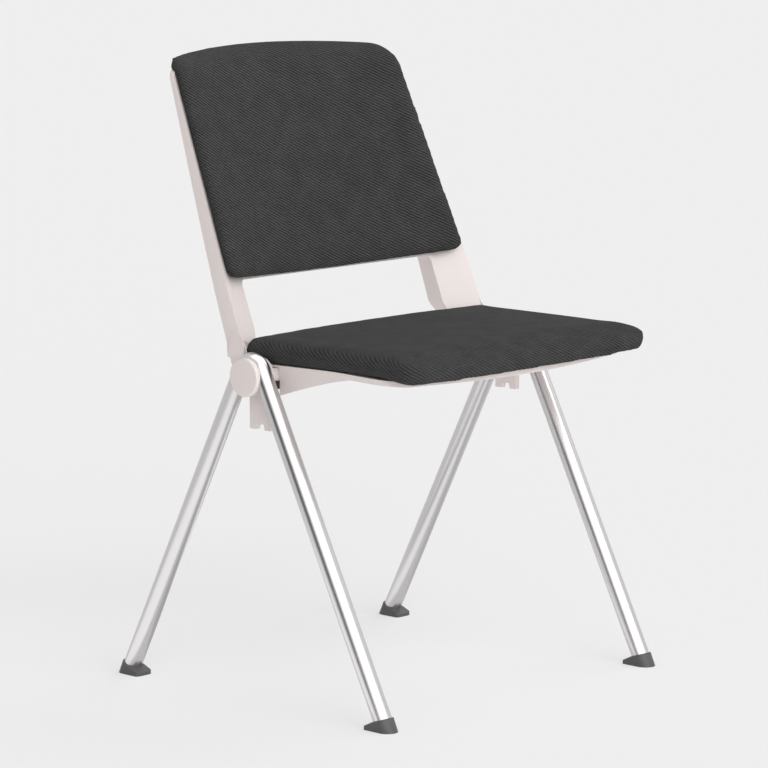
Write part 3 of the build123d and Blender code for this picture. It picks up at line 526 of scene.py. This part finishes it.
def prism(bm, outline, inner, outer):
    """A closed prism on an outline of depths and heights in mm, between two widths that follow the height."""
    rings = []
    for width in (inner, outer):
        rings.append([bm.verts.new((width(z) * MM, y * MM, z * MM)) for y, z in outline])
    bm.faces.new(rings[0])
    bm.faces.new(list(reversed(rings[1])))
    for index in range(len(outline)):
        following = (index + 1) % len(outline)
        bm.faces.new((rings[0][index], rings[1][index], rings[1][following], rings[0][following]))


def arm_side(z):
    """Half width in mm over the outside of an arm at a height: the flare from the plate to the arm."""
    plate_half, arm_half, upper_half = 247, 238, 236.5
    plate_top, flare_top, straight_top = 457, 474, 540
    if z < flare_top:
        return plate_half - (plate_half - arm_half) * max(z - plate_top, 0) / (flare_top - plate_top)
    return arm_half - (arm_half - upper_half) * (z - flare_top) / (straight_top - flare_top)


def thinner_top(place):
    """A point of the back moulding, moved forward where its rear face tapers towards the top edge."""
    foot_z, front_y, rear_y = 545 * MM, 71.9 * MM, 95.8 * MM
    front_lean, rear_lean = math.radians(22.1), math.radians(19.4)
    bow_radius, bow_depth, bow_slant = 538 * MM, 484 * MM, 0.93
    taper_z, taper_run, thinner = 640 * MM, 190 * MM, 3 * MM
    rise = place.z - foot_z
    front = front_y + rise * math.tan(front_lean)
    rear = rear_y + rise * math.tan(rear_lean)
    bow = (math.sqrt(bow_radius**2 - place.x**2) - bow_depth) / bow_slant
    share = min(max((place.y - bow - front) / (rear - front), 0.0), 1.0)
    taper = min(max((place.z - taper_z) / taper_run, 0.0), 1.0)
    return place - Vector((0, thinner * taper * share, 0))


# Front edge of an arm, from the top of its plate to its straight part, as depths and heights in mm
ARM_FRONT = ((31, 459.2), (33, 466), (36.5, 474), (42, 482), (50.5, 492))
# Half widths in mm between which the plate's top is trimmed, and from which the arm is filled out
TRIM_IN, TRIM_OUT, FILL_IN = 238.85, 250, 237.3


class CHAIR_OT_back_shell(bpy.types.Operator):
    """Rounds the edges of the moulded back and runs its two arms smoothly into their plates"""

    bl_idname = "chair.back_shell"
    bl_label = "Back shell"

    def execute(self, context):
        sizes = context.scene.chair_sizes
        piece = finish_piece(
            merged_copy("back_shell"),
            "back_moulding",
            "frame",
            "shell_plastic",
            bpy.data.materials["polypropylene"],
            "back_shell",
        )
        for vert in piece.data.vertices:
            vert.co = thinner_top(vert.co)
        bm = bmesh.new()
        for side in (-1, 1):
            prism(
                bm,
                ((-12, 470), (2, 461.5), *ARM_FRONT[:4], (30, 490)),
                lambda z: side * TRIM_IN,
                lambda z: side * TRIM_OUT,
            )
        bmesh.ops.recalc_face_normals(bm, faces=bm.faces)
        data = bpy.data.meshes.new("plate_cutter")
        bm.to_mesh(data)
        bm.free()
        cutter = bpy.data.objects.new("plate_cutter", data)
        context.scene.collection.objects.link(cutter)
        trim = piece.modifiers.new("plate top", "BOOLEAN")
        trim.operation = "DIFFERENCE"
        trim.solver = "EXACT"
        trim.object = cutter
        apply_modifiers(piece)
        bpy.data.objects.remove(cutter)

        bm = bmesh.new()
        bm.from_mesh(piece.data)
        fill = bmesh.new()
        for side in (-1, 1):
            prism(
                fill,
                (*ARM_FRONT, (60, 492), (60, 459.2)),
                lambda z: side * FILL_IN,
                lambda z: side * (arm_side(z) + 0.03),
            )
        bmesh.ops.recalc_face_normals(fill, faces=fill.faces)
        data = bpy.data.meshes.new("arm_fill")
        fill.to_mesh(data)
        fill.free()
        bm.from_mesh(data)
        bpy.data.meshes.remove(data)
        bmesh.ops.dissolve_limit(bm, angle_limit=math.radians(0.5), verts=bm.verts, edges=bm.edges)
        weight = bm.edges.layers.float.new("bevel_weight_edge")
        for edge in bm.edges:
            if len(edge.link_faces) == 2 and edge.calc_face_angle() > math.radians(32):
                middle = (edge.verts[0].co + edge.verts[1].co) / 2
                arm = abs(middle.x) > 228 * MM and 495 * MM < middle.z < 830 * MM
                edge[weight] = 1.0 if arm else sizes.shell_edge / sizes.arm_edge
        bm.to_mesh(piece.data)
        bm.free()
        piece.data.polygons.foreach_set("use_smooth", [True] * len(piece.data.polygons))
        bevel = piece.modifiers.new("rounded edges", "BEVEL")
        bevel.width = sizes.arm_edge
        bevel.segments = 3
        bevel.limit_method = "WEIGHT"
        bevel.harden_normals = True
        return {"FINISHED"}


# Where the seat's lower side edges start to fall and where they end, in mm ahead of the pivot
FALL_FROM, FALL_TO = 105, 235


def front_fall(place):
    """Fall of the seat's lower side edges ahead of the front corners."""
    start_y, run_y = -FALL_FROM * MM, 120 * MM
    start_x, run_x, deepest = 190 * MM, 40 * MM, 3 * MM
    ahead = min(max((start_y - place.y) / run_y, 0.0), 1.0)
    aside = min(max((abs(place.x) - start_x) / run_x, 0.0), 1.0)
    return deepest * ahead**2 * (3 - 2 * ahead) * aside


def flush_web(place):
    """A point of the seat pan, moved so that the webs stand flush with the rim and end a little higher."""
    web_in, web_middle, web_out = 222.5 * MM, 225 * MM, 227.5 * MM
    flush_in, flush_out = 227.9 * MM, 230.85 * MM
    rear_y, length = -22 * MM, 150 * MM
    if not (web_in < abs(place.x) < web_out and -173 * MM < place.y < -21 * MM):
        return place
    across = flush_in if abs(place.x) < web_middle else flush_out
    height = place.z
    # Points below the pan's underside are those of the web's lower edge
    if height < 448 * MM - 0.02 * place.y:
        run = (rear_y - place.y) / length
        height = (411 + 49.4 * run - 9.2 * run**2) * MM
    return Vector((math.copysign(across, place.x), place.y, height))


class CHAIR_OT_seat_pan(bpy.types.Operator):
    """Finishes the moulded seat pan, with its webs flush with the rim"""

    bl_idname = "chair.seat_pan"
    bl_label = "Seat pan"

    def execute(self, context):
        bm = merged_copy("seat_pan")
        for vert in bm.verts:
            vert.co = flush_web(vert.co)
        for station in range(FALL_FROM, FALL_TO, 15):
            bmesh.ops.bisect_plane(
                bm,
                geom=bm.verts[:] + bm.edges[:] + bm.faces[:],
                plane_co=(0, -station * MM, 0),
                plane_no=(0, 1, 0),
            )
        # The rim falls a little more than the pad, so that it shows below it at the corners
        for vert in bm.verts:
            vert.co.z -= 1.4 * front_fall(vert.co)
        bmesh.ops.dissolve_limit(bm, angle_limit=math.radians(0.5), verts=bm.verts, edges=bm.edges)
        piece = finish_piece(
            bm, "pan_moulding", "seat", "pan_plastic", bpy.data.materials["polypropylene"], "seat_pan"
        )
        mark_sharp(piece, 30)
        return {"FINISHED"}


class CHAIR_OT_fixings(bpy.types.Operator):
    """Finishes the clamps, bolts, boards and other fixings"""

    bl_idname = "chair.fixings"
    bl_label = "Fixings"

    def execute(self, context):
        paint(plain_metal("die_cast_aluminium", "#b9babb", 0.45), "frame_clamps")
        paint(plain_metal("zinc_plated_steel", "#a9abad", 0.3), "clamp_bolts", "board_screws")
        paint(moulded_plastic("powder_coat", from_hex("#2b2b2c"), 0.45, 0.3), "cross_tube")
        paint(moulded_plastic("black_rubber", from_hex("#1c1c1c"), 0.7, 0.1), "stop_bumpers")
        paint(moulded_plastic("black_nylon", from_hex("#232324"), 0.45, 0.1), "end_plugs", "hinge_bushes")
        paint(moulded_plastic("natural_nylon", from_hex("#d8d3c8"), 0.45, 0.1), "back_clips")
        paint(beech_plywood(), "back_board", "seat_board")
        return {"FINISHED"}


def even_faces(piece):
    """Remeshes a closed piece in even faces of 4.6 mm."""
    # Turned, so that no long edge runs along the grid and comes out in steps
    turn = Matrix.Rotation(math.radians(63), 4, Vector((-0.35, -0.77, 0.54)))
    piece.data.transform(turn)
    remesh = piece.modifiers.new("even faces", "REMESH")
    remesh.mode = "VOXEL"
    remesh.voxel_size = 4.6 * MM
    apply_modifiers(piece)
    piece.data.transform(turn.inverted())


def stuffed(node, name, body, material, roll, give, rests):
    """A padded piece: the node's form with rolled edges, drawn in a little and then blown up as cloth."""
    piece = finish_piece(merged_copy(node), name, body, "pad_fabric", material, node)
    even_faces(piece)
    for vert in piece.data.vertices:
        vert.co = roll(vert.co)
    bm = bmesh.new()
    bm.from_mesh(piece.data)
    for _ in range(8):
        bmesh.ops.smooth_vert(bm, verts=bm.verts, factor=0.5, use_axis_x=True, use_axis_y=True, use_axis_z=True)
    bm.normal_update()
    form = [vert.co.copy() for vert in bm.verts]
    held = []
    for vert in bm.verts:
        if rests(vert.co, vert.normal):
            held.append(vert.index)
        else:
            vert.co -= vert.normal * give
    bm.to_mesh(piece.data)
    bm.free()
    piece.vertex_groups.new(name="held").add(held, 1.0, "REPLACE")
    cloth = piece.modifiers.new("filling", "CLOTH")
    cloth.settings.vertex_group_mass = "held"
    cloth.settings.use_pressure = True
    cloth.settings.uniform_pressure_force = 4
    cloth.settings.effector_weights.gravity = 0
    cloth.settings.quality = 6
    cloth.collision_settings.use_collision = False
    cloth.point_cache.frame_end = 20
    for number in range(1, 21):
        bpy.context.scene.frame_set(number)
    apply_modifiers(piece)
    bpy.context.scene.frame_set(1)
    for vert, start in zip(piece.data.vertices, form):
        step = vert.co - start
        if step.length > give:
            vert.co = start + step * (give / step.length)
    piece.vertex_groups.clear()
    smooth = piece.modifiers.new("smooth cloth", "SUBSURF")
    smooth.levels = smooth.render_levels = 1
    return piece


def apply_modifiers(piece):
    """Makes the modifiers' result the piece's own mesh."""
    graph = bpy.context.evaluated_depsgraph_get()
    made = bpy.data.meshes.new_from_object(piece.evaluated_get(graph))
    piece.modifiers.clear()
    piece.data = made
    made.polygons.foreach_set("use_smooth", [True] * len(made.polygons))


def weave(piece, side_count, top_count, level):
    """Counts the ribs at each point, on the sides and on the top, for the twill to follow."""
    for name, count in (("rib_side", side_count), ("rib_top", top_count)):
        layer = piece.data.attributes.new(name, "FLOAT", "POINT")
        layer.data.foreach_set("value", [count(vert.co) for vert in piece.data.vertices])
    layer = piece.data.attributes.new("rib_level", "FLOAT", "POINT")
    layer.data.foreach_set("value", [level(vert.normal) for vert in piece.data.vertices])


class BackOutline:
    """The back pad seen from the front: how far a point lies inside its edge, and behind its face."""

    # Corners of the outline, its bow at the lower and upper edge, and its corner radii
    low_half, low_z, low_bow, low_corner = 229 * MM, 557 * MM, 10.5 * MM, 13 * MM
    top_half, top_z, top_bow, top_corner = 212 * MM, 842.5 * MM, 10 * MM, 27 * MM

    def __init__(self, sizes):
        bm = merged_copy("back_pad")
        self.tree = BVHTree.FromBMesh(bm)
        bm.free()
        self.sizes = sizes

    def behind(self, place):
        """Depth of a point behind the front face."""
        middle = Vector((0, 0, (self.low_z + self.top_z) / 2))
        start = middle + (place - middle) * 0.97
        hit, normal, _, _ = self.tree.ray_cast(Vector((start.x, -1, start.z)), Vector((0, 1, 0)))
        if hit is None:
            return 0.0
        slope = normal.x * (place.x - start.x) + normal.z * (place.z - start.z)
        return place.y - hit.y + slope / normal.y

    def inside(self, place):
        """Distance to the edge, its roll there, and the share of the upright and the level edge."""
        share = (place.z - self.low_z) / (self.top_z - self.low_z)
        to_side = self.low_half + (self.top_half - self.low_half) * share - abs(place.x)
        to_low = place.z - self.low_z + self.low_bow * (1 - (place.x / self.low_half) ** 2)
        to_top = self.top_z - place.z + self.top_bow * (1 - (place.x / self.top_half) ** 2)
        to_level, corner, roll, upward = (
            (to_top, self.top_corner, self.sizes.top_roll, 1)
            if to_top < to_low
            else (to_low, self.low_corner, self.sizes.side_roll, -1)
        )
        across, along = max(corner - to_side, 0.0), max(corner - to_level, 0.0)
        if across and along:
            level = along**2 / (across**2 + along**2)
            distance = corner - math.hypot(across, along)
        else:
            level = 1.0 if to_level < to_side else 0.0
            distance = min(to_side, to_level)
        return distance, self.sizes.side_roll * (1 - level) + roll * level, level, upward

    def rolled(self, place):
        """The point pushed back to the rolled edge."""
        distance, roll, _, _ = self.inside(place)
        if distance >= roll:
            return place
        least = roll - math.sqrt(max(roll**2 - (roll - distance) ** 2, 0.0))
        return place + Vector((0, max(least - self.behind(place), 0.0), 0))

    def ribs(self, place):
        """Ribs up to a point, counted on the cloth as it wraps round the edge."""
        distance, roll, level, upward = self.inside(place)
        across, up = place.x, place.z
        if distance < roll:
            depth = max(self.behind(place), 0.0)
            wrap = depth - 0.43 * min(depth, roll)
            across += math.copysign(wrap * (1 - level), place.x)
            up += upward * wrap * level
        return -across / self.sizes.rib_across - up / self.sizes.rib_down


class CHAIR_OT_back_pad(bpy.types.Operator):
    """Upholsters the back pad"""

    bl_idname = "chair.back_pad"
    bl_label = "Back pad"

    def execute(self, context):
        outline = BackOutline(context.scene.chair_sizes)
        piece = stuffed(
            "back_pad",
            "back_upholstery",
            "frame",
            bpy.data.materials["wool_twill"],
            outline.rolled,
            0.8 * MM,
            lambda place, normal: normal.y > 0.5,
        )
        weave(piece, outline.ribs, outline.ribs, lambda normal: 1.0)
        return {"FINISHED"}


class SeatOutline:
    """The seat pad in plan and from the side: fuller front corners and a fuller rear edge than its solid."""

    # Middle of the polar stretch of a front corner
    stretch_x, stretch_y = 196 * MM, -218 * MM
    # The solid's half width, its depth at the sides and in the middle, and its corner radius
    solid = (SEAT_HALF, 256 * MM, 267 * MM, 36 * MM)

    def inside(self, x, y, half, side_front, front, corner):
        """Distance in from the edge in plan."""
        to_side = half - abs(x)
        to_front = y + side_front + (front - side_front) * (1 - (x / half) ** 2)
        if to_side < corner and to_front < corner:
            return corner - math.hypot(corner - to_side, corner - to_front)
        return min(to_side, to_front)

    def reach(self, across, along, *outline):
        """Length from the middle of the stretch to the edge of an outline, in one direction."""
        near, far = 0.0, 0.12
        for _ in range(24):
            tried = (near + far) / 2
            if self.inside(self.stretch_x + across * tried, self.stretch_y + along * tried, *outline) > 0:
                near = tried
            else:
                far = tried
        return near

    def filled(self, place):
        """The point moved to the fuller form."""
        x, y, z = abs(place.x), place.y, place.z
        if y > 5 * MM:
            height = z / MM
            if height < 465:
                old = 24 + (height - 450.5) * 14 / 14.5
            else:
                old = 29.9 + math.sqrt(max(11.1**2 - (height - 473.4) ** 2, 0.0))
            if height < 459.5:
                new = 33 + 8 * math.sqrt(max(1 - ((459.5 - height) / 9.2) ** 2, 0.0))
            elif height < 475:
                new = 41
            else:
                new = 30 + math.sqrt(max(11**2 - (height - 475) ** 2, 0.0))
            share = min(max((y / MM - 5) / max(old - 5, 1), 0.0), 1.0)
            y += (new - old) * MM * share**2
        if y < self.stretch_y:
            full = min(max((z / MM - 446) / 14, 0.0), 1.0)
            new = (236.6 * MM, (258.5 + 6 * full) * MM, (265.9 + 1.5 * full) * MM, (28 - 14 * full) * MM)
            old = self.solid
            across, along = max(x - self.stretch_x, 0.0), y - self.stretch_y
            length = math.hypot(across, along)
            if across:
                grow = self.reach(across / length, along / length, *new) / self.reach(
                    across / length, along / length, *old
                )
                x = self.stretch_x + across * grow
            else:
                bow = 1 - (x / SEAT_HALF) ** 2
                grow = (new[1] + (new[2] - new[1]) * bow + self.stretch_y) / (
                    old[1] + (old[2] - old[1]) * bow + self.stretch_y
                )
            y = self.stretch_y + along * grow
            # The lower edge rises towards the sides, so a point that moves out moves up
            was, now = (450 * MM - 10 * MM * (1 - min(w / (233 * MM), 1) ** 2) for w in (abs(place.x), x))
            z += (now - was) * min(max((462 * MM - z) / (462 * MM - was), 0.0), 1.0)
        z -= front_fall(place) * min(max((464 * MM - z) / (14 * MM), 0.0), 1.0)
        return Vector((math.copysign(x, place.x), y, z))


class CHAIR_OT_seat_pad(bpy.types.Operator):
    """Upholsters the seat pad"""

    bl_idname = "chair.seat_pad"
    bl_label = "Seat pad"

    def execute(self, context):
        sizes = context.scene.chair_sizes
        material = bpy.data.materials["wool_twill"]
        piece = stuffed(
            "seat_pad",
            "seat_upholstery",
            "seat",
            material,
            SeatOutline().filled,
            0.8 * MM,
            lambda place, normal: normal.z < -0.5,
        )
        low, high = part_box("seat_pad")
        corner = sizes.seat_corner
        side_x = -low.x - corner
        front_y = low.y + corner
        arc = corner * math.pi / 2

        def round_the_edge(place):
            """Length along the cloth's edge from the near side, round the front, to the far side."""
            if place.y > front_y and place.y > high.y - 14 * MM and abs(place.x) < -low.x - 8 * MM:
                return place.x
            if place.y > front_y:
                return front_y - place.y if place.x < 0 else 2 * arc + 2 * side_x + place.y - front_y
            if abs(place.x) < side_x:
                return arc + place.x + side_x
            turn = math.atan2(front_y - place.y, abs(place.x) - side_x)
            return corner * turn if place.x < 0 else 2 * arc + 2 * side_x - corner * turn

        weave(
            piece,
            lambda place: -round_the_edge(place) / sizes.rib_across - place.z / sizes.rib_down,
            lambda place: -place.x / sizes.rib_across - place.y / sizes.rib_down,
            lambda normal: min(max((normal.z - 0.75) / 0.2, 0.0), 1.0),
        )
        return {"FINISHED"}


class CHAIR_OT_stage(bpy.types.Operator):
    """Sets up the pale floor, the soft studio light and the camera"""

    bl_idname = "chair.stage"
    bl_label = "Stage"

    def execute(self, context):
        scene = context.scene
        scene.view_settings.view_transform = "Standard"
        colours = scene.chair_colours

        paper = bpy.data.materials.new("studio_paper")
        paper.use_nodes = True
        shader = paper.node_tree.nodes["Principled BSDF"]
        # Lit from behind for the greater part, so that shadows on it stay faint
        shader.inputs["Base Color"].default_value = (*(0.55 * part for part in colours.floor), 1)
        shader.inputs["Emission Color"].default_value = (*colours.floor, 1)
        shader.inputs["Emission Strength"].default_value = 0.56
        shader.inputs["Roughness"].default_value = 1
        shader.inputs["Specular IOR Level"].default_value = 0
        bm = bmesh.new()
        bmesh.ops.create_grid(bm, x_segments=1, y_segments=1, size=40)
        data = bpy.data.meshes.new("studio_floor")
        bm.to_mesh(data)
        bm.free()
        data.materials.append(paper)
        floor = bpy.data.objects.new("studio_floor", data)
        scene.collection.objects.link(floor)

        world = bpy.data.worlds.new("studio")
        world.use_nodes = True
        scene.world = world
        tree = world.node_tree
        ray = add_node(tree, "ShaderNodeLightPath")
        seen = add_node(
            tree,
            "ShaderNodeMath",
            {0: ray.outputs["Is Camera Ray"], 1: ray.outputs["Is Glossy Ray"]},
            operation="MAXIMUM",
        )
        light = add_node(tree, "ShaderNodeBackground", {"Color": (1, 1, 1, 1), "Strength": 0.45})
        pale = add_node(tree, "ShaderNodeBackground", {"Color": (*colours.floor, 1), "Strength": 1})
        mixed = add_node(
            tree, "ShaderNodeMixShader", {0: seen.outputs[0], 1: light.outputs[0], 2: pale.outputs[0]}
        )
        tree.links.new(mixed.outputs[0], tree.nodes["World Output"].inputs["Surface"])

        for name, toward, strength, spread in (
            ("key_light", (-0.2, -0.85, 0.42), 1.85, 70),
            ("side_light", (0.75, -0.1, 0.65), 0.5, 45),
        ):
            lamp = bpy.data.lights.new(name, "SUN")
            lamp.energy = strength
            lamp.angle = math.radians(spread)
            holder = bpy.data.objects.new(name, lamp)
            holder.rotation_euler = Vector(toward).to_track_quat("Z", "Y").to_euler()
            scene.collection.objects.link(holder)

        # Soft panels and floor cards that only reflections show: turn, place, tilt, width, height and strength
        for name, azimuth, middle, tilt, width, height, strength in (
            ("soft_panel_left", -47, (0, -3, 2.5), 90, 2.4, 4, 2.2),
            ("soft_panel_right", 0, (0, -3, 2.5), 90, 2.6, 4, 2.2),
            ("soft_panel_top", 0, (0, 0, 4), 0, 4, 4, 2.2),
            ("dark_panel", -97, (0, -3, 1), 90, 1.6, 2, 0.03),
            ("floor_card", 0, (-0.6, 0.15, 0.002), 0, 0.6, 0.9, 1.4),
            ("near_shade", 0, (-0.12, 0.15, 0.002), 0, 0.2, 0.9, 0.6),
            ("far_card", 0, (0.1, 0.15, 0.002), 0, 0.2, 0.9, 1.3),
            ("far_shade", 0, (0.425, 0.15, 0.002), 0, 0.25, 0.9, 0.7),
        ):
            bm = bmesh.new()
            bmesh.ops.create_grid(
                bm,
                x_segments=1,
                y_segments=1,
                size=0.5,
                matrix=Matrix.Rotation(math.radians(azimuth), 4, "Z")
                @ Matrix.Translation(middle)
                @ Matrix.Rotation(math.radians(tilt), 4, "X")
                @ Matrix.Diagonal((width, height, 1, 1)),
            )
            data = bpy.data.meshes.new(name)
            bm.to_mesh(data)
            bm.free()
            cloth = bpy.data.materials.new(name)
            cloth.use_nodes = True
            shader = cloth.node_tree.nodes["Principled BSDF"]
            shader.inputs["Base Color"].default_value = (0, 0, 0, 1)
            shader.inputs["Specular IOR Level"].default_value = 0
            shader.inputs["Emission Color"].default_value = (1, 1, 1, 1)
            shader.inputs["Emission Strength"].default_value = strength
            data.materials.append(cloth)
            panel = bpy.data.objects.new(name, data)
            scene.collection.objects.link(panel)
            panel.visible_camera = False
            panel.visible_diffuse = False
            panel.visible_shadow = False

        azimuth = math.radians(-46.47)
        elevation = math.radians(8.97)
        back = Vector(
            (
                math.sin(azimuth) * math.cos(elevation),
                -math.cos(azimuth) * math.cos(elevation),
                math.sin(elevation),
            )
        )
        across = Vector((math.cos(azimuth), math.sin(azimuth), 0))
        lens = bpy.data.cameras.new("camera")
        lens.sensor_width = 36
        # The photograph's focal length is 3882 of its 768 pixels across
        lens.lens = 3882 / 768 * lens.sensor_width
        lens.clip_end = 200
        camera = bpy.data.objects.new("camera", lens)
        camera.location = across * -5.6 * MM + Vector((0, 0, 397.8 * MM)) + back * 5.299
        camera.rotation_euler = back.to_track_quat("Z", "Y").to_euler()
        scene.collection.objects.link(camera)
        scene.camera = camera
        return {"FINISHED"}


class CHAIR_PT_panel(bpy.types.Panel):
    """Lists the chair's sizes, colours and pieces"""

    bl_idname = "CHAIR_PT_panel"
    bl_label = "Conference chair"
    bl_space_type = "VIEW_3D"
    bl_region_type = "UI"
    bl_category = "Chair"

    def draw(self, context):
        for group in (context.scene.chair_sizes, context.scene.chair_colours):
            for name in group.__annotations__:
                self.layout.prop(group, name)
        for piece in PIECES:
            self.layout.operator(piece.bl_idname)


PIECES = (
    CHAIR_OT_side_frames,
    CHAIR_OT_feet,
    CHAIR_OT_back_shell,
    CHAIR_OT_end_caps,
    CHAIR_OT_seat_pan,
    CHAIR_OT_fixings,
    CHAIR_OT_back_pad,
    CHAIR_OT_seat_pad,
    CHAIR_OT_stage,
)
CLASSES = (ChairSizes, ChairColours, *PIECES, CHAIR_PT_panel)


def register():
    for entry in CLASSES:
        bpy.utils.register_class(entry)
    bpy.types.Scene.chair_sizes = PointerProperty(type=ChairSizes)
    bpy.types.Scene.chair_colours = PointerProperty(type=ChairColours)


def unregister():
    del bpy.types.Scene.chair_colours
    del bpy.types.Scene.chair_sizes
    for entry in reversed(CLASSES):
        bpy.utils.unregister_class(entry)


def main():
    register()
    colours = bpy.context.scene.chair_colours
    moulded_plastic("polypropylene", colours.moulding, 0.4, 0.15)
    wool_twill(colours)
    bpy.ops.chair.side_frames()
    bpy.ops.chair.feet()
    bpy.ops.chair.back_shell()
    bpy.ops.chair.end_caps()
    bpy.ops.chair.seat_pan()
    bpy.ops.chair.fixings()
    bpy.ops.chair.back_pad()
    bpy.ops.chair.seat_pad()
    bpy.ops.chair.stage()


if __name__ == "__main__":
    main()
